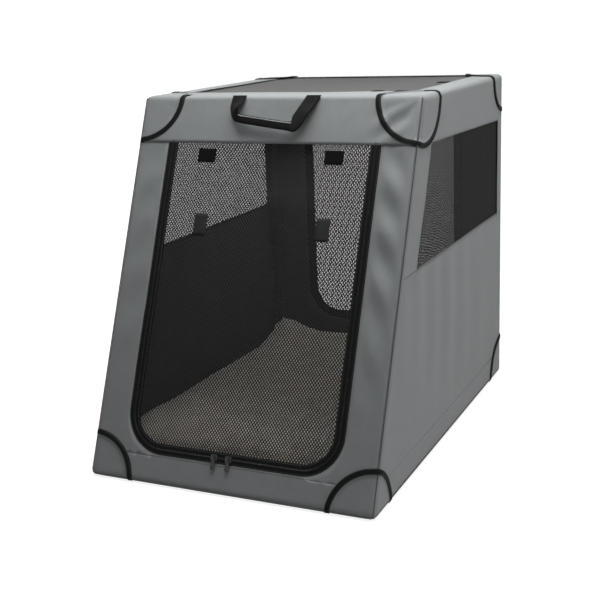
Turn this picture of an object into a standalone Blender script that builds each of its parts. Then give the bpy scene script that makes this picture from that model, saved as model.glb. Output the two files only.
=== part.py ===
"""Soft folding dog crate: a cloth skin with net doors over a folding tube frame.

Metres, +Z up. The front faces -Y and slopes back as it rises, and +X is the crate's right side
as seen from the front. The origin is on the floor, in the middle of the underside.

The roof frame drops straight down on four knee-jointed legs. Each knee's pin stands a little
outside its leg, so the standing legs are past their straight line and the roof's weight locks them.
"""

from math import asin, cos, hypot, pi, radians, sin, sqrt

import bmesh
import bpy
from mathutils import Matrix, Vector
from mathutils.geometry import tessellate_polygon

# Driving dimensions
CRATE_WIDTH = 0.510
BASE_LENGTH = 0.750
CRATE_HEIGHT = 0.610
FRONT_SETBACK = 0.262

# Cloth
CLOTH = 0.0014
NET = 0.0010
SEAT = 0.0003

# Front and back openings
TOP_BAND = 0.080
DOOR_SILL = 0.053
DOOR_WIDTH = 0.390
DOOR_CORNER = 0.070
ZIP_BAND = 0.0185
BACK_DOOR_SILL = 0.085
BACK_DOOR_WIDTH = 0.350
SEAM_STRIP = 0.006
DOOR_CORNER_STEPS = 6

# Side windows
WINDOW_TOP_MARGIN = 0.078
WINDOW_DROP = 0.191
WINDOW_FRONT_MARGIN = 0.070
WINDOW_REAR_MARGIN = 0.035

# Roof opening
ROOF_FRONT_BORDER = 0.085
ROOF_SIDE_BORDER = 0.046
ROOF_REAR_BORDER = 0.016

# Nets: gaps across, gaps up, and the strand between two gaps
DOOR_NET_GAPS = (6, 8)
BACK_NET_GAPS = (5, 7)
WINDOW_NET_GAPS = (6, 3)
ROOF_NET_GAPS = (6, 5)
NET_STRAND = 0.006
NET_MARGIN = 0.005
HOLE_SIDE_STEPS = 5

# Tube frame
TUBE_RADIUS = 0.008
TUBE_SIDES = 12
BEND_RADIUS = 0.028
BEND_STEPS = 5
PIVOT_HEIGHT = 0.045

# Legs
LEG_INSET = 0.019
LEG_SIDE_INSET = 0.0120
TONGUE_HALF = 0.0050
TONGUE_WIDE = 0.0085
TONGUE_EDGE = 0.0020
TONGUE_REACH = 0.016
TONGUE_TAPER = 0.012
TONGUE_ROUND_STEPS = 3
TONGUE_ROUND_FROM_DEGREES = 15
TONGUE_EDGE_SHARE = 0.9

# Brackets that hold the legs on the frame's side tubes
SLOT_HALF = 0.0054
EAR_OUTER = 0.0094
EAR_RADIUS = 0.0100
FOOT_START = 0.0320
FOOT_END = 0.0760
FOOT_SKIRT = 0.0020
FOOT_WALL = 0.0038
FOOT_RISE = 0.0040
EAR_FROM_DEGREES = -20
EAR_TO_DEGREES = 225
EAR_STEPS = 9

# Knees
KNUCKLE_HALF = 0.0100
KNUCKLE_WIDE = 0.0105
KNUCKLE_LENGTH = 0.058
KNUCKLE_SOCKET = 0.024
KNUCKLE_DISC = 0.0070
KNUCKLE_NECK = 0.0100
DISC_STEPS = 10
TURN_CLEARANCE = 0.0004

# Pins
PIN_RADIUS = 0.0030
PIN_HEAD_RADIUS = 0.0050
PIN_HEAD = 0.0010
PIN_SUNK = 0.0006
PIN_SIDES = 10

# Knee lock buttons
BUTTON_RADIUS = 0.0045
BUTTON_LENGTH = 0.0085
BUTTON_TRAVEL = 0.0025
BUTTON_PROUD = 0.0030
BUTTON_FROM_KNEE = 0.016
BUTTON_CHAMFER = 0.0008

# Corner guards
GUARD_RADIUS = 0.073
GUARD_CLOTH = 0.0009
BINDING_WIDTH = 0.0095
BINDING_CLOTH = 0.0014
GUARD_FOOT = 0.0040
GUARD_STEPS = 5

# Mat
MAT_SIDE_GAP = 0.028
MAT_FRONT_GAP = 0.016
MAT_REAR_GAP = 0.004
MAT_EDGE_HEIGHT = 0.062
MAT_CROWN = 0.010
MAT_FRONT_LIFT = 0.010
MAT_CORNER_LIFT = 0.030
MAT_SIDE_TUCK = 0.010
MAT_COLUMNS = 14
MAT_ROWS = 18
MAT_CORNER_REACH_SHARE = 0.22

# Tabs that hang from the front door's head, and carry the upper halves of its roll-up fasteners
TAB_X = 0.1165
TAB_WIDTH = 0.033
TAB_DROP = 0.033

# Zip sliders: a plate, and a bail over it that holds the pull's eye
SLIDER_LENGTH = 0.011
SLIDER_WIDTH = 0.010
SLIDER_PLATE = 0.0020
BAIL_WIDTH = 0.0024
BAIL_REACH = 0.0032
BAIL_LEG = 0.0012
BAIL_BAR = 0.0012
SLIDER_SPACING = 0.026
SLIDER_MIDDLE = -0.012
BACK_SLIDER_DROP = 0.014

# Zip pulls
PULL_THICK = 0.0012
PULL_EYE_BAR = 0.0012
PULL_EYE_LENGTH = 0.0050
PULL_EYE_WIDTH = 0.0034
PULL_EYE_SIDE = 0.0013
PULL_LENGTH = 0.022
PULL_WIDTH = 0.0075
PULL_HOLE = 0.0016
PULL_HOLE_SIDES = 8
PULL_SHOULDER_SHARE = 0.45
PULL_HOLE_SHARE = 0.80

# Carrying handle. Each station has a share of the spread, of the drop and of the stand-off,
# a share of the way from grip width to strap width, and the degrees its width is turned
HANDLE_SPREAD = 0.068
HANDLE_STRAP = 0.025
HANDLE_GRIP = 0.014
HANDLE_GRIP_THICK = 0.006
HANDLE_CLOTH = 0.0022
HANDLE_DROP = 0.0515
HANDLE_STAND_OFF = 0.012
HANDLE_STATION_SHARES = (
    (1.00, 0.00, 0.00, 1.00, 90),
    (1.00, 0.16, 0.05, 1.00, 90),
    (1.00, 0.45, 0.50, 1.00, 90),
    (0.98, 0.72, 0.85, 0.80, 78),
    (0.90, 0.90, 0.98, 0.45, 45),
    (0.72, 0.99, 1.00, 0.00, 10),
    (0.30, 1.00, 1.00, 0.00, 0),
)

# The tessellator takes lengths of about one, so outlines are enlarged for it
FILL_ENLARGEMENT = 1000

OVERRUN = 0.002

# Worked out from the above
HALF_WIDTH = CRATE_WIDTH / 2
HALF_LENGTH = BASE_LENGTH / 2
SLOPE = hypot(FRONT_SETBACK, CRATE_HEIGHT)
UP_FRONT = Vector((0, FRONT_SETBACK, CRATE_HEIGHT)) / SLOPE
OUT_FRONT = Vector((0, -CRATE_HEIGHT, FRONT_SETBACK)) / SLOPE
X = Vector((1, 0, 0))
Y = Vector((0, 1, 0))
Z = Vector((0, 0, 1))
WALL = CLOTH + SEAT
FRAME_X = HALF_WIDTH - WALL - TUBE_RADIUS
BASE_FRAME_Z = WALL + TUBE_RADIUS
ROOF_FRAME_Z = CRATE_HEIGHT - BASE_FRAME_Z
REAR_FRAME_Y = HALF_LENGTH - WALL - TUBE_RADIUS
LEG_X = HALF_WIDTH - CLOTH - LEG_SIDE_INSET
LOW_PIVOT_Z = PIVOT_HEIGHT
HIGH_PIVOT_Z = CRATE_HEIGHT - PIVOT_HEIGHT
BRACKET_REACH = PIVOT_HEIGHT - BASE_FRAME_Z


def front_y(height, inset):
    """Y of the plane that lies inset behind the front's outer face, at a height."""
    return -HALF_LENGTH + FRONT_SETBACK * height / CRATE_HEIGHT + inset * SLOPE / CRATE_HEIGHT


# Leg linkage: the front halves' lengths follow from the rear ones, so that both knees turn alike
REAR_PIVOT_Y = HALF_LENGTH - CLOTH - LEG_INSET
FRONT_LOW = Vector((0, front_y(LOW_PIVOT_Z, CLOTH + LEG_INSET), LOW_PIVOT_Z))
FRONT_HIGH = Vector((0, front_y(HIGH_PIVOT_Z, CLOTH + LEG_INSET), HIGH_PIVOT_Z))
REAR_LOW = Vector((0, REAR_PIVOT_Y, LOW_PIVOT_Z))
REAR_HIGH = Vector((0, REAR_PIVOT_Y, HIGH_PIVOT_Z))
REAR_HALF = (HIGH_PIVOT_Z - LOW_PIVOT_Z) / 2
REAR_KNEE_OFFSET = KNUCKLE_WIDE + SEAT
REAR_LINK = hypot(REAR_HALF, REAR_KNEE_OFFSET)
PIVOT_SETBACK = FRONT_HIGH.y - FRONT_LOW.y
FRONT_LOWER_LINK = (sqrt(PIVOT_SETBACK ** 2 + 4 * REAR_LINK ** 2) + PIVOT_SETBACK) / 2
FRONT_UPPER_LINK = FRONT_LOWER_LINK - PIVOT_SETBACK
FRONT_SPAN = (FRONT_HIGH - FRONT_LOW).length
OVER_CENTRE = asin(REAR_KNEE_OFFSET / REAR_LINK)
FRONT_KNEE_OFFSET = FRONT_LOWER_LINK * FRONT_UPPER_LINK * sin(2 * OVER_CENTRE) / FRONT_SPAN
FRONT_LOWER_LENGTH = sqrt(FRONT_LOWER_LINK ** 2 - FRONT_KNEE_OFFSET ** 2)


class Leg:
    """One pair of legs: its two pivots, its knee and the side its knees' pins stand on."""

    def __init__(self, low, high, lower_length, offset, outward):
        self.low, self.high = low, high
        self.along = (high - low).normalized()
        self.outward = outward
        self.knee = low + self.along * lower_length
        self.pin = self.knee + outward * offset
        self.offset = offset


FRONT_LEG = Leg(FRONT_LOW, FRONT_HIGH, FRONT_LOWER_LENGTH, FRONT_KNEE_OFFSET, OUT_FRONT)
REAR_LEG = Leg(REAR_LOW, REAR_HIGH, REAR_HALF, REAR_KNEE_OFFSET, Y)


class Face:
    """A flat face of the crate, with u across, v up and w out of it."""

    def __init__(self, origin, across, up, out):
        self.origin, self.across, self.up, self.out = origin, across, up, out

    def __call__(self, u, v, w=0.0):
        return self.origin + self.across * u + self.up * v + self.out * w


FRONT = Face(Vector((0, -HALF_LENGTH, 0)), X, UP_FRONT, OUT_FRONT)
BACK = Face(Vector((0, HALF_LENGTH, 0)), -X, Z, Y)
RIGHT = Face(Vector((HALF_WIDTH, 0, 0)), Y, Z, X)
LEFT = Face(Vector((-HALF_WIDTH, 0, 0)), Y, Z, -X)
ROOF = Face(Vector((0, 0, CRATE_HEIGHT)), X, Y, Z)
FLOOR = Face(Vector((0, 0, 0)), X, Y, -Z)

# Colours and finishes
GREY_CLOTH = ((0.180, 0.190, 0.192), 0.85, 0.0)
BLACK_CLOTH = ((0.018, 0.019, 0.020), 0.80, 0.0)
BLACK_NET = ((0.030, 0.031, 0.033), 0.75, 0.0)
BLACK_TUBE = ((0.030, 0.031, 0.032), 0.45, 0.6)
BLACK_PLASTIC = ((0.020, 0.020, 0.021), 0.50, 0.0)
GREY_PLASTIC = ((0.090, 0.090, 0.092), 0.45, 0.0)
DARK_METAL = ((0.045, 0.045, 0.047), 0.40, 0.8)
PALE_FLEECE = ((0.46, 0.43, 0.38), 0.95, 0.0)

BODY_ORIGINS = {
    "base_body": Vector((0, 0, 0)),
    "roof_body": REAR_HIGH,
    "rear_lower_body": REAR_LOW,
    "rear_upper_body": REAR_LEG.pin,
    "front_lower_body": FRONT_LOW,
    "front_upper_body": FRONT_LEG.pin,
    "front_door_body": FRONT(0, SLOPE - TOP_BAND),
    "back_door_body": BACK(0, CRATE_HEIGHT - TOP_BAND),
    "handle_body": FRONT(0, SLOPE, SEAT + HANDLE_CLOTH / 2),
}
empties = {}


def clear_scene():
    for thing in list(bpy.data.objects):
        bpy.data.objects.remove(thing, do_unlink=True)


def body_empty(name):
    """The empty on a body's joint axis, which carries that body's pieces."""
    if name not in empties:
        empty = bpy.data.objects.new(name, None)
        empty.location = BODY_ORIGINS[name]
        bpy.context.scene.collection.objects.link(empty)
        empties[name] = empty
    return empties[name]


def ride_on(body, carrier):
    """Parents one body's empty to another's, in place."""
    empty, parent = body_empty(body), body_empty(carrier)
    empty.parent = parent
    empty.location = BODY_ORIGINS[body] - BODY_ORIGINS[carrier]


def finish_material(name, finish):
    colour, roughness, metallic = finish
    material = bpy.data.materials.new(name + "_finish")
    material.use_nodes = True
    shader = material.node_tree.nodes["Principled BSDF"]
    shader.inputs["Base Color"].default_value = (*colour, 1.0)
    shader.inputs["Roughness"].default_value = roughness
    shader.inputs["Metallic"].default_value = metallic
    return material


def place_mesh(name, solid, body):
    """Makes an object from a bmesh in world places, with its origin on its body's axis."""
    bmesh.ops.recalc_face_normals(solid, faces=solid.faces)
    empty = body_empty(body)
    bmesh.ops.translate(solid, verts=solid.verts, vec=-BODY_ORIGINS[body])
    mesh = bpy.data.meshes.new(name)
    solid.to_mesh(mesh)
    solid.free()
    thing = bpy.data.objects.new(name, mesh)
    bpy.context.scene.collection.objects.link(thing)
    thing.parent = empty
    return thing


def piece(name, solid, body, finish, smooth_angle=radians(35)):
    thing = place_mesh(name, solid, body)
    thing.data.shade_smooth()
    thing.data.set_sharp_from_angle(angle=smooth_angle)
    thing.data.materials.append(finish_material(name, finish))
    return thing


def combine(thing, body, operation, *shapes):
    """Cuts each of the bmeshes given out of an object, or joins it on."""
    for number, solid in enumerate(shapes):
        shape = place_mesh(f"{thing.name}_{operation.lower()}_{number}", solid, body)
        shape.hide_render = True
        shape.display_type = "WIRE"
        step = thing.modifiers.new(f"{operation.lower()}_{number}", "BOOLEAN")
        step.operation = operation
        step.solver = "EXACT"
        step.object = shape


def add_rings(solid, rings, closed=False):
    """Joins rings of points with quads, and caps both ends unless the run is closed."""
    rows = [[solid.verts.new(point) for point in ring] for ring in rings]
    pairs = list(zip(rows, rows[1:]))
    if closed:
        pairs.append((rows[-1], rows[0]))
    else:
        solid.faces.new(rows[0])
        solid.faces.new(rows[-1])
    for ring, following in pairs:
        for i in range(len(ring)):
            j = (i + 1) % len(ring)
            solid.faces.new((ring[i], ring[j], following[j], following[i]))


def add_sheet(solid, loops, place, low, high):
    """A flat plate between two depths: the first loop is its outline and the others are holes."""
    flat = [[Vector((u, v, 0)) * FILL_ENLARGEMENT for u, v in loop] for loop in loops]
    triangles = tessellate_polygon(flat)
    levels = []
    for w in (low, high):
        level = [[solid.verts.new(place(u, v, w)) for u, v in loop] for loop in loops]
        levels.append(level)
        corners = [vert for loop in level for vert in loop]
        for triangle in triangles:
            solid.faces.new([corners[i] for i in triangle])
    for bottom, top in zip(*levels):
        for i in range(len(bottom)):
            j = (i + 1) % len(bottom)
            solid.faces.new((bottom[i], bottom[j], top[j], top[i]))


def circle(centre, first, second, radius, sides):
    turns = [2 * pi * (i + 0.5) / sides for i in range(sides)]
    return [centre + first * (radius * cos(t)) + second * (radius * sin(t)) for t in turns]


def round_cut(solid, start, end, radius, sides):
    """A cutting cylinder whose flats, not its corners, stand off by the radius."""
    add_cylinder(solid, start, end, radius / cos(pi / sides), sides)


def add_cylinder(solid, start, end, radius, sides):
    axis = (end - start).normalized()
    first = axis.orthogonal().normalized()
    second = axis.cross(first)
    add_rings(solid, [circle(p, first, second, radius, sides) for p in (start, end)])


def arc(centre, radius, start, end, steps):
    """Points of an arc in a plane, angles in degrees."""
    turns = [radians(start + (end - start) * i / steps) for i in range(steps + 1)]
    return [(centre[0] + radius * cos(t), centre[1] + radius * sin(t)) for t in turns]


def door_outline(half, sill, head, corner):
    """A door's outline: square at its head, round at its lower corners."""
    left = arc((-half + corner, sill + corner), corner, 180, 270, DOOR_CORNER_STEPS)
    right = arc((half - corner, sill + corner), corner, 270, 360, DOOR_CORNER_STEPS)
    return [(-half, head)] + left + right + [(half, head)]


def rectangle(low_u, low_v, high_u, high_v):
    return [(low_u, low_v), (high_u, low_v), (high_u, high_v), (low_u, high_v)]


def in_quad(corners, across, up):
    """A point at shares across and up a four-cornered outline (low left, low right, high right, high left)."""
    low_left, low_right, high_right, high_left = (Vector(c) for c in corners)
    low = low_left.lerp(low_right, across)
    high = high_left.lerp(high_right, across)
    return low.lerp(high, up)


def inset_quad(corners, inset):
    """Corners drawn in by a distance along both of their sides."""
    points = [Vector(c) for c in corners]
    drawn = []
    for i, point in enumerate(points):
        towards = (points[i - 1] - point).normalized() + (points[(i + 1) % 4] - point).normalized()
        drawn.append(tuple(point + towards * inset))
    return drawn


def along_sides(corners):
    """Points along a closed outline's sides, its corners among them."""
    sides = zip(corners, corners[1:] + corners[:1])
    return [tuple(Vector(a).lerp(Vector(b), i / HOLE_SIDE_STEPS)) for a, b in sides for i in range(HOLE_SIDE_STEPS)]


def net_holes(corners, gaps, keep=lambda u, v: True):
    """Diamond gaps in two staggered sets, inside a four-cornered outline."""
    columns, rows = gaps
    inner = inset_quad(corners, NET_MARGIN)
    width = (Vector(inner[1]) - Vector(inner[0])).length
    height = (Vector(inner[3]) - Vector(inner[0])).length
    wide = 0.5 / columns - NET_STRAND * 0.5 / width
    tall = 0.5 / rows - NET_STRAND * 0.5 / height
    holes = []
    for stagger in (0, 1):
        for row in range(rows - stagger):
            for column in range(columns - stagger):
                a = (column + 0.5 + stagger * 0.5) / columns
                b = (row + 0.5 + stagger * 0.5) / rows
                shares = ((a - wide, b), (a, b - tall), (a + wide, b), (a, b + tall))
                hole = [tuple(in_quad(inner, *share)) for share in shares]
                if all(keep(u, v) for u, v in along_sides(hole)):
                    holes.append(hole)
    return holes


def net_sheet(name, outline, corners, gaps, face, body, keep=lambda u, v: True):
    solid = bmesh.new()
    middle = -CLOTH / 2
    add_sheet(solid, [outline] + net_holes(corners, gaps, keep), face, middle - NET / 2, middle + NET / 2)
    return piece(name, solid, body, BLACK_NET)


def cloth_sheet(name, loops, face, body, finish, low=-CLOTH, high=0.0):
    solid = bmesh.new()
    add_sheet(solid, loops, face, low, high)
    return piece(name, solid, body, finish)


def tube_loop(name, half_x, low_y, high_y, height, body):
    """A tube bent into a rectangle with round corners."""
    points = []
    for sx, y, start in ((1, high_y, 0), (-1, high_y, 90), (-1, low_y, 180), (1, low_y, 270)):
        centre = (sx * (half_x - BEND_RADIUS), y - BEND_RADIUS if y == high_y else y + BEND_RADIUS)
        points += arc(centre, BEND_RADIUS, start, start + 90, BEND_STEPS)
    curve = bpy.data.curves.new(name, "CURVE")
    curve.dimensions = "3D"
    curve.bevel_depth = TUBE_RADIUS
    curve.bevel_resolution = (TUBE_SIDES - 4) // 2
    spline = curve.splines.new("POLY")
    spline.points.add(len(points) - 1)
    spline.use_cyclic_u = True
    origin = BODY_ORIGINS[body]
    for point, (x, y) in zip(spline.points, points):
        point.co = (*(Vector((x, y, height)) - origin), 1)
    thing = bpy.data.objects.new(name, curve)
    bpy.context.scene.collection.objects.link(thing)
    thing.parent = body_empty(body)
    curve.materials.append(finish_material(name, BLACK_TUBE))
    return thing


# Cloth skin


def side_outline():
    """A side panel between the front and back panels, up to the roof's cloth."""
    low, high = WALL, CRATE_HEIGHT - WALL
    rear = HALF_LENGTH - WALL
    return [(front_y(low, WALL), low), (rear, low), (rear, high), (front_y(high, WALL), high)]


def window_corners():
    high = CRATE_HEIGHT - WINDOW_TOP_MARGIN
    low = high - WINDOW_DROP
    rear = HALF_LENGTH - WINDOW_REAR_MARGIN
    return [(front_y(low, 0) + WINDOW_FRONT_MARGIN, low), (rear, low),
            (rear, high), (front_y(high, 0) + WINDOW_FRONT_MARGIN, high)]


def skin_panels():
    front_low = (WALL + CLOTH * FRONT_SETBACK / SLOPE) * SLOPE / CRATE_HEIGHT
    front_high = SLOPE - WALL * SLOPE / CRATE_HEIGHT
    door = door_outline(DOOR_WIDTH / 2, DOOR_SILL, SLOPE - TOP_BAND, DOOR_CORNER)
    outline = rectangle(-HALF_WIDTH, front_low, HALF_WIDTH, front_high)
    cloth_sheet("front_panel", [outline, door], FRONT, "base_body", GREY_CLOTH)
    tape = ZIP_BAND / 2
    back_door = door_outline(BACK_DOOR_WIDTH / 2 - tape, BACK_DOOR_SILL + tape,
                             CRATE_HEIGHT - TOP_BAND, DOOR_CORNER - tape)
    outline = rectangle(-HALF_WIDTH, WALL, HALF_WIDTH, CRATE_HEIGHT - WALL)
    cloth_sheet("back_panel", [outline, back_door], BACK, "base_body", GREY_CLOTH)
    window = window_corners()
    net = inset_quad(window, SEAT)
    for name, face in (("left", LEFT), ("right", RIGHT)):
        cloth_sheet(f"{name}_panel", [side_outline(), window], face, "base_body", GREY_CLOTH)
        net_sheet(f"{name}_window_net", net, net, WINDOW_NET_GAPS, face, "base_body")


def roof_pieces():
    front = front_y(CRATE_HEIGHT, 0)
    outline = rectangle(-HALF_WIDTH, front, HALF_WIDTH, HALF_LENGTH)
    opening = rectangle(-HALF_WIDTH + ROOF_SIDE_BORDER, front + ROOF_FRONT_BORDER,
                        HALF_WIDTH - ROOF_SIDE_BORDER, HALF_LENGTH - ROOF_REAR_BORDER)
    cloth_sheet("roof_border", [outline, opening], ROOF, "roof_body", GREY_CLOTH)
    net = inset_quad(opening, SEAT)
    net_sheet("roof_net", net, net, ROOF_NET_GAPS, ROOF, "roof_body")


def zip_tape(name, face, half, sill, head):
    """The half of the zip's tape that is sewn to the panel: down one side, round the bottom and up."""
    outer = door_outline(half - SEAT, sill + SEAT, head - SEAT, DOOR_CORNER - SEAT)
    width = ZIP_BAND / 2
    inner = door_outline(half - width, sill + width, head - SEAT, DOOR_CORNER - width)
    cloth_sheet(name, [outer + inner[::-1]], face, "base_body", BLACK_CLOTH)


def with_tabs(outline, head):
    """A door net's space, with its top edge cut back round the two tabs."""
    points = list(outline)
    for x in (TAB_X, -TAB_X):
        points += [(x + TAB_WIDTH / 2, head), (x + TAB_WIDTH / 2, head - TAB_DROP),
                   (x - TAB_WIDTH / 2, head - TAB_DROP), (x - TAB_WIDTH / 2, head)]
    return points


def door(prefix, face, half, sill, head, gaps, body, tabs):
    """A net door in its edge tape. The tape's outer side is the zip's other half."""
    edge = ZIP_BAND / 2 + SEAT
    tape = ZIP_BAND
    outer = door_outline(half - edge, sill + edge, head - SEAT, DOOR_CORNER - edge)
    strip = head - SEAM_STRIP
    inner = door_outline(half - tape, sill + tape, strip, DOOR_CORNER - tape)
    net_edge = tape + SEAT
    corner = DOOR_CORNER - net_edge
    outline = door_outline(half - net_edge, sill + net_edge, strip - SEAT, corner)
    if tabs:
        inner = with_tabs(inner, strip)
        outline = with_tabs(outline, strip - SEAT)
        outline = [widened_tab(point, strip - SEAT) for point in outline]
    cloth_sheet(f"{prefix}_door_edge", [outer, inner], face, body, BLACK_CLOTH)
    corners = rectangle(-half + net_edge, sill + net_edge, half - net_edge, strip - SEAT)

    def clear(u, v):
        out_u = abs(u) - (half - net_edge - corner)
        out_v = sill + net_edge + corner - v
        if tabs and abs(abs(u) - TAB_X) < TAB_WIDTH / 2 + NET_MARGIN and v > strip - TAB_DROP - NET_MARGIN:
            return False
        return out_u <= 0 or out_v <= 0 or hypot(out_u, out_v) < corner - NET_MARGIN

    net_sheet(f"{prefix}_door_net", outline, corners, gaps, face, body, clear)


def widened_tab(point, head):
    """Moves a point of the net's edge round a tab away from the tab's own edge."""
    u, v = point
    if abs(abs(u) - TAB_X) > TAB_WIDTH / 2 + SEAT or v < head - TAB_DROP - SEAT:
        return point
    middle = TAB_X if u > 0 else -TAB_X
    return (u + (SEAT if u > middle else -SEAT), v)


def doors():
    front_head = SLOPE - TOP_BAND
    back_head = CRATE_HEIGHT - TOP_BAND
    zip_tape("front_zip_tape", FRONT, DOOR_WIDTH / 2, DOOR_SILL, front_head)
    door("front", FRONT, DOOR_WIDTH / 2, DOOR_SILL, front_head, DOOR_NET_GAPS, "front_door_body", True)
    door("back", BACK, BACK_DOOR_WIDTH / 2, BACK_DOOR_SILL, back_head, BACK_NET_GAPS, "back_door_body", False)


def floor_pieces():
    outline = rectangle(-HALF_WIDTH, -HALF_LENGTH, HALF_WIDTH, HALF_LENGTH)
    cloth_sheet("bottom_panel", [outline], FLOOR, "base_body", BLACK_CLOTH)


def floor_mat():
    """A fleece pad with a low crown, tucked-in sides and turned-up rear corners."""
    low = WALL
    front = front_y(MAT_EDGE_HEIGHT / 2, WALL) + MAT_FRONT_GAP
    rear = REAR_FRAME_Y - TUBE_RADIUS - MAT_REAR_GAP

    def edge_share(a, b):
        """1 in the middle, 0 on the rim."""
        return (1 - (2 * a - 1) ** 4) * (1 - (2 * b - 1) ** 4)

    def top(a, b):
        corner = max(0.0, 1 - hypot(min(a, 1 - a), 1 - b) / MAT_CORNER_REACH_SHARE)
        lift = MAT_FRONT_LIFT * (1 - b) ** 2 + MAT_CORNER_LIFT * corner ** 2 * (3 - 2 * corner)
        return MAT_EDGE_HEIGHT + lift + MAT_CROWN * edge_share(a, b)

    def point(a, b, height, tuck):
        x = (2 * a - 1) * (HALF_WIDTH - MAT_SIDE_GAP - tuck)
        y = front + tuck + (rear - front - 2 * tuck) * b
        return Vector((x, y, low + height))

    solid = bmesh.new()
    shares = [(i / MAT_COLUMNS, j / MAT_ROWS) for j in range(MAT_ROWS + 1) for i in range(MAT_COLUMNS + 1)]
    upper = [solid.verts.new(point(a, b, top(a, b), MAT_SIDE_TUCK)) for a, b in shares]
    under = {share: solid.verts.new(point(*share, 0.0, MAT_SIDE_TUCK)) for share in shares}
    wide = MAT_COLUMNS + 1
    for j in range(MAT_ROWS):
        for i in range(MAT_COLUMNS):
            k = j * wide + i
            solid.faces.new((upper[k], upper[k + 1], upper[k + wide + 1], upper[k + wide]))
    rim = [(i, 0) for i in range(MAT_COLUMNS)] + [(MAT_COLUMNS, j) for j in range(MAT_ROWS)]
    rim += [(MAT_COLUMNS - i, MAT_ROWS) for i in range(MAT_COLUMNS)] + [(0, MAT_ROWS - j) for j in range(MAT_ROWS)]
    rim_upper = [upper[j * wide + i] for i, j in rim]
    rim_under = [under[shares[j * wide + i]] for i, j in rim]
    rim_bulge = []
    for i, j in rim:
        a, b = shares[j * wide + i]
        rim_bulge.append(solid.verts.new(point(a, b, top(a, b) / 2, 0.0)))
    for ring, following in ((rim_under, rim_bulge), (rim_bulge, rim_upper)):
        for i in range(len(ring)):
            j = (i + 1) % len(ring)
            solid.faces.new((ring[i], ring[j], following[j], following[i]))
    solid.faces.new(rim_under)
    used = set(rim_under)
    bmesh.ops.delete(solid, geom=[v for v in under.values() if v not in used], context="VERTS")
    piece("floor_mat", solid, "base_body", PALE_FLEECE)


# Corner guards


class Corner:
    """A corner of the crate, with its outer planes and the edges that leave it."""

    def __init__(self, side, front, top):
        wall_out = OUT_FRONT if front else Y
        wall_at = FRONT.origin if front else BACK.origin
        level = CRATE_HEIGHT if top else GUARD_FOOT
        self.planes = [(wall_out, wall_at.dot(wall_out), True),
                       (X * side, HALF_WIDTH, True),
                       (Z, level, top)]
        rise = UP_FRONT if front else Z
        self.edges = [-X * side, -rise if top else rise, Y if front else -Y]
        self.top = top

    def apex(self, offset):
        """The corner point of the planes moved out by an offset."""
        rows = Matrix([normal for normal, _, _ in self.planes])
        levels = Vector([level + (offset if moves else 0.0) for _, level, moves in self.planes])
        return rows.inverted() @ levels

    def directions(self):
        """Unit directions round the corner, from edge to edge, a face at a time."""
        pairs = list(zip(self.edges, self.edges[1:]))
        if self.top:
            pairs.append((self.edges[2], self.edges[0]))
        turns = [start.slerp(end, i / GUARD_STEPS) for start, end in pairs for i in range(GUARD_STEPS)]
        return turns if self.top else turns + [self.edges[2]]


def corner_guard(name, corner, body):
    """A cloth cap over a corner, cut to a round edge on each face, with a raised tape along that edge."""
    cloth, tape = SEAT + GUARD_CLOTH, SEAT + BINDING_CLOTH
    near, far = GUARD_RADIUS, GUARD_RADIUS + BINDING_WIDTH
    solid = bmesh.new()
    inside, outside = (solid.verts.new(corner.apex(offset)) for offset in (SEAT, cloth))
    steps = ((SEAT, far), (tape, far), (tape, near), (cloth, near))
    rows = []
    for way in corner.directions():
        rows.append([solid.verts.new(corner.apex(offset) + way * radius) for offset, radius in steps])
    pairs = list(zip(rows, rows[1:]))
    if corner.top:
        pairs.append((rows[-1], rows[0]))
    else:
        for row in (rows[0], rows[-1]):
            solid.faces.new([inside] + row + [outside])
    for row, following in pairs:
        solid.faces.new((inside, row[0], following[0]))
        solid.faces.new((outside, row[-1], following[-1]))
        for i in range(len(steps) - 1):
            solid.faces.new((row[i], row[i + 1], following[i + 1], following[i]))
    piece(name, solid, body, BLACK_CLOTH)


def corner_guards():
    for level, top, body in (("base", False, "base_body"), ("roof", True, "roof_body")):
        for end, front in (("front", True), ("rear", False)):
            for word, side in (("left", -1), ("right", 1)):
                corner_guard(f"{level}_{end}_guard_{word}", Corner(side, front, top), body)


# Tube frame, brackets and legs


def frames():
    front = front_y(BASE_FRAME_Z, WALL + TUBE_RADIUS)
    tube_loop("base_frame", FRAME_X, front, REAR_FRAME_Y, BASE_FRAME_Z, "base_body")
    front = front_y(ROOF_FRAME_Z, WALL + TUBE_RADIUS)
    tube_loop("roof_frame", FRAME_X, front, REAR_FRAME_Y, ROOF_FRAME_Z, "roof_body")


def bracket_profile():
    """A bracket's outline: a along the side tube from the pivot, b from the tube's middle to the pivot."""
    foot_top = TUBE_RADIUS + FOOT_WALL
    foot = [(FOOT_END, FOOT_SKIRT), (FOOT_END, foot_top - FOOT_WALL / 2), (FOOT_END - FOOT_RISE, foot_top),
            (FOOT_START + FOOT_RISE, foot_top + FOOT_RISE)]
    ear = arc((0, BRACKET_REACH), EAR_RADIUS, EAR_FROM_DEGREES, EAR_TO_DEGREES, EAR_STEPS)
    heel = [(FOOT_START - FOOT_RISE, TUBE_RADIUS + SEAT + FOOT_WALL / 3), (FOOT_START, FOOT_SKIRT)]
    return foot + ear + heel


def bracket_place(pivot, foot_way, top):
    """Places a bracket's (a, b) on the frame under (or over) its pivot."""
    rise = -1 if top else 1
    tube_z = ROOF_FRAME_Z if top else BASE_FRAME_Z
    return lambda a, b, x: Vector((x, pivot.y + foot_way * a, tube_z + rise * b))


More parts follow.
